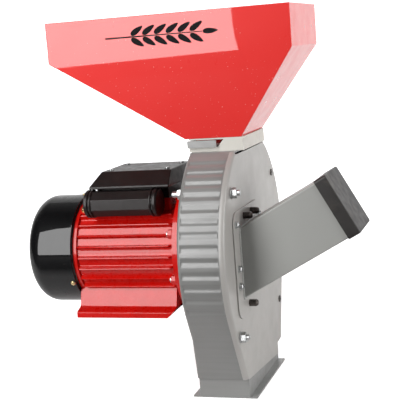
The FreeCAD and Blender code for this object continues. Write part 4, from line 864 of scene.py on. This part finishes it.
def screws():
    """The chute plate's screws and long cap nuts, the cowl's screws and the earth screw."""
    small = Shape()
    for y, z in PLATE_SCREWS:
        hex_screw(small, (PLATE_FACE, y, z), (1, 0, 0), 5.2, 8.0, 4.4, 1.9)
    small.piece("chute_plate_screws", "cover", "zinc_bright", ["chute_screws"], bevel=0.2, angle=30)
    dark = Shape()
    r = 9.0 / math.sqrt(3)
    dome = [(10.5, 4.2), (11.6, 4.1), (12.5, 3.2), (12.95, 1.6)]
    for y, z in CAP_NUTS:
        rows = []
        for a, k in ((0, 1), (10.0, 1), (11.0, 0.86)):
            corners = [polar(60 * i, k * r) for i in range(6)]
            rows.append([(PLATE_FACE + a, y + u, z + v) for u, v in corners])
        dark.rows(rows, around=True, cap=True)
        dark.lathe(dome, (PLATE_FACE, y, z), (1, 0, 0), 24)
    dark.piece("long_cap_nuts", "cover", "black_oxide", ["chute_bolts"], bevel=0.3, angle=28)
    heads = Shape()
    head = [
        (-9, 2.0), (0, 2.0), (0, 3.8), (0.9, 3.8), (1.7, 3.2), (2.3, 2.1), (2.4, 0.9), (1.4, 0.85),
        (1.2, 0.3),
    ]
    for angle in COWL_SCREW_ANGLES:
        dy, dz = polar(angle, 1)
        heads.lathe(head, (-225.6, dy * COWL_R, AXIS_Z + dz * COWL_R), (0, dy, dz), 28)
    heads.piece("cowl_screw_heads", "mill", "zinc_yellow", ["cowl_screws"], bevel=0.2)
    earth = Shape()
    at = EARTH_AT + EARTH_AXIS * 1.9
    hex_screw(earth, at, EARTH_AXIS, 4.6, 6.6, 5.0, 0)
    earth.lathe([(-8, 2.3), (0.5, 2.3)], at, EARTH_AXIS, 20)
    earth.piece("earth_screw_head", "mill", "zinc_yellow", ["earth_screw"], bevel=0.25)


chamber()
cover()
hopper()
grain_ear()
motor()
cowl()
terminal_lid()
capacitor_housing()
chute()
chute_cap()
chute_plate()
hex_nuts()
screws()

# CAD nodes that stay, each with its finish and how far its edges are rounded
KEPT = {
    "discharge_flange": ("chamber_grey", 0.5), "sieve": ("sieve_steel", 0),
    "sieve_rail": ("plain_steel", 0.3), "hopper_collar": ("collar_white", 0.8),
    "hopper_bolts": ("zinc_bright", 0.3), "tie_rods": ("zinc_bright", 0.3),
    "stator_core": ("lamination", 0), "stator_winding": ("copper", 0),
    "rear_shield": ("cast_aluminium", 0), "front_shield": ("motor_red", 0.6),
    "flange_bolts": ("zinc_bright", 0.2), "flange_nuts": ("motor_red", 0.5),
    "bearing_balls": ("plain_steel", 0), "shaft_seal": ("seal_rubber", 0.2),
    "terminal_box": ("box_black", 0.5), "lid_screws": ("zinc_bright", 0.25),
    "capacitor": ("capacitor_white", 0.3), "terminal_block": ("block_ivory", 0.3),
    "switch_body": ("box_black", 0.3), "cable_gland": ("box_black", 0.3),
    "cover_studs": ("zinc_bright", 0.4), "front_bearing_outer": ("plain_steel", 0),
    "rear_bearing_outer": ("plain_steel", 0), "shaft": ("plain_steel", 0.3),
    "shaft_key": ("plain_steel", 0.2), "rotor_core": ("lamination", 0),
    "rotor_cage": ("cast_aluminium", 0), "cooling_fan": ("fan_plastic", 0.3),
    "fan_clip": ("plain_steel", 0), "rear_disc": ("plain_steel", 0.4),
    "front_disc": ("plain_steel", 0.4), "cob_knives": ("hardened_steel", 0.2),
    "hammer_pins": ("plain_steel", 0.3), "pin_clips": ("black_oxide", 0),
    "hammer_spacers": ("plain_steel", 0.2), "rotor_nut": ("zinc_bright", 0.3),
    "front_bearing_inner": ("plain_steel", 0), "rear_bearing_inner": ("plain_steel", 0),
    "hammers_1": ("hardened_steel", 0.3), "hammers_2": ("hardened_steel", 0.3),
    "hammers_3": ("hardened_steel", 0.3), "hammers_4": ("hardened_steel", 0.3),
    "cover_screws": ("black_oxide", 0.3), "gate": ("chamber_grey", 0.4),
    "switch_rocker": ("rocker_green", 0.4),
}
for node, (slot, bevel) in KEPT.items():
    keep(node, slot, bevel)


# ---- floor, light and camera -------------------------------------------------------------------
def stage_floor():
    """A pale floor that curves up into a backdrop far behind and fades to plain white around the mill."""
    sweep = Shape()
    bend_y, bend = 1500, 900
    line = [(-4000, 0), (bend_y, 0)]
    for k in range(1, 9):
        a = math.radians(90 * k / 8)
        line.append((bend_y + bend * math.sin(a), bend * (1 - math.cos(a))))
    line.append((bend_y + bend, 3600))
    sweep.rows([[(x, y, z) for y, z in line] for x in (-5000, 5000)])
    me = bpy.data.meshes.new("floor")
    me.from_pydata([[c * MM for c in v] for v in sweep.verts], [], sweep.faces)
    me.polygons.foreach_set("use_smooth", [True] * len(me.polygons))
    floor = bpy.data.objects.new("floor", me)
    bpy.context.scene.collection.objects.link(floor)
    paper = bpy.data.materials.new("floor_paper")
    paper.use_nodes = True
    nt = paper.node_tree
    shader = nt.nodes["Principled BSDF"]
    shader.inputs["Roughness"].default_value = 0.8
    shader.inputs["Specular IOR Level"].default_value = 0.1
    shader.inputs["Emission Color"].default_value = (1, 1, 1, 1)
    at = nt.nodes.new("ShaderNodeTexCoord")
    parts = nt.nodes.new("ShaderNodeSeparateXYZ")
    nt.links.new(at.outputs["Object"], parts.inputs["Vector"])
    ray = nt.nodes.new("ShaderNodeLightPath")

    def lit(seen, other, socket):
        """What is seen directly differs from what lights and mirrors in the mill."""
        mix = nt.nodes.new("ShaderNodeMix")
        mix.data_type = "FLOAT"
        nt.links.new(ray.outputs["Is Camera Ray"], mix.inputs["Factor"])
        nt.links.new(other, mix.inputs["A"])
        nt.links.new(seen, mix.inputs["B"])
        nt.links.new(mix.outputs["Result"], shader.inputs[socket])

    far = nt.nodes.new("ShaderNodeVectorMath")
    far.operation = "LENGTH"
    nt.links.new(at.outputs["Object"], far.inputs[0])
    pale = nt.nodes.new("ShaderNodeValue")
    pale.outputs["Value"].default_value = 0.86
    across = parts.outputs["Y"]
    lit(pale.outputs["Value"], map_range(nt, across, -0.34, -0.20, 0.05, 0.8), "Base Color")
    white_edge = map_range(nt, far.outputs["Value"], 0.5, 1.2, 0.62, 1.0)
    lit(white_edge, map_range(nt, across, 0.2, 1.4, 0.0, 0.46), "Emission Strength")
    me.materials.append(paper)


def softbox(name, at, target, size, power, colour=(1, 1, 1)):
    lamp = bpy.data.lights.new(name, "AREA")
    lamp.shape = "RECTANGLE"
    lamp.size, lamp.size_y = size
    lamp.energy = power
    lamp.color = colour
    ob = bpy.data.objects.new(name, lamp)
    ob.location = Vector(at)
    ob.rotation_mode = "QUATERNION"
    ob.rotation_quaternion = (Vector(target) - Vector(at)).to_track_quat("-Z", "Y")
    bpy.context.scene.collection.objects.link(ob)


stage_floor()
softbox("key", (-0.83, -1.50, 1.30), (-0.60, -0.5, 1.30), (0.94, 2.4), 52)
softbox("fill", (1.9, -0.45, 0.8), (0.05, 0.0, 0.3), (1.2, 1.5), 33)
softbox("top", (0.1, 0.5, 2.1), (0.0, 0.1, 0.0), (1.6, 1.2), 7)

world = bpy.data.worlds.new("studio")
bpy.context.scene.world = world
world.use_nodes = True
wt = world.node_tree
sky = wt.nodes["Background"]
sky.inputs["Color"].default_value = (1, 1, 1, 1)
way = wt.nodes.new("ShaderNodeTexCoord")
split = wt.nodes.new("ShaderNodeSeparateXYZ")
wt.links.new(way.outputs["Generated"], split.inputs["Vector"])
glow = map_range(wt, split.outputs["Y"], 0.0, 0.7, 0.015, 0.30)
seen_ray = wt.nodes.new("ShaderNodeLightPath")
choice = wt.nodes.new("ShaderNodeMix")
choice.data_type = "FLOAT"
choice.inputs["B"].default_value = 1.0
wt.links.new(seen_ray.outputs["Is Camera Ray"], choice.inputs["Factor"])
wt.links.new(glow, choice.inputs["A"])
wt.links.new(choice.outputs["Result"], sky.inputs["Strength"])

camera_data = bpy.data.cameras.new("camera")
camera_data.sensor_width = 36.0
camera_data.lens = 91.57
camera_data.clip_start, camera_data.clip_end = 0.05, 50.0
camera = bpy.data.objects.new("camera", camera_data)
bpy.context.scene.collection.objects.link(camera)
RIGHT = Vector((0.9515796, 0.29760278, -0.07699906))
UP = Vector((0.02807608, 0.16529573, 0.98584434))
LOOK = Vector((-0.30611763, 0.94027119, -0.14893652))
turn = Matrix((RIGHT, UP, -LOOK)).transposed()
camera.matrix_world = Matrix.Translation((0.4136, -1.40316, 0.4922)) @ turn.to_4x4()
bpy.context.scene.camera = camera
bpy.context.scene.view_settings.view_transform = "Standard"
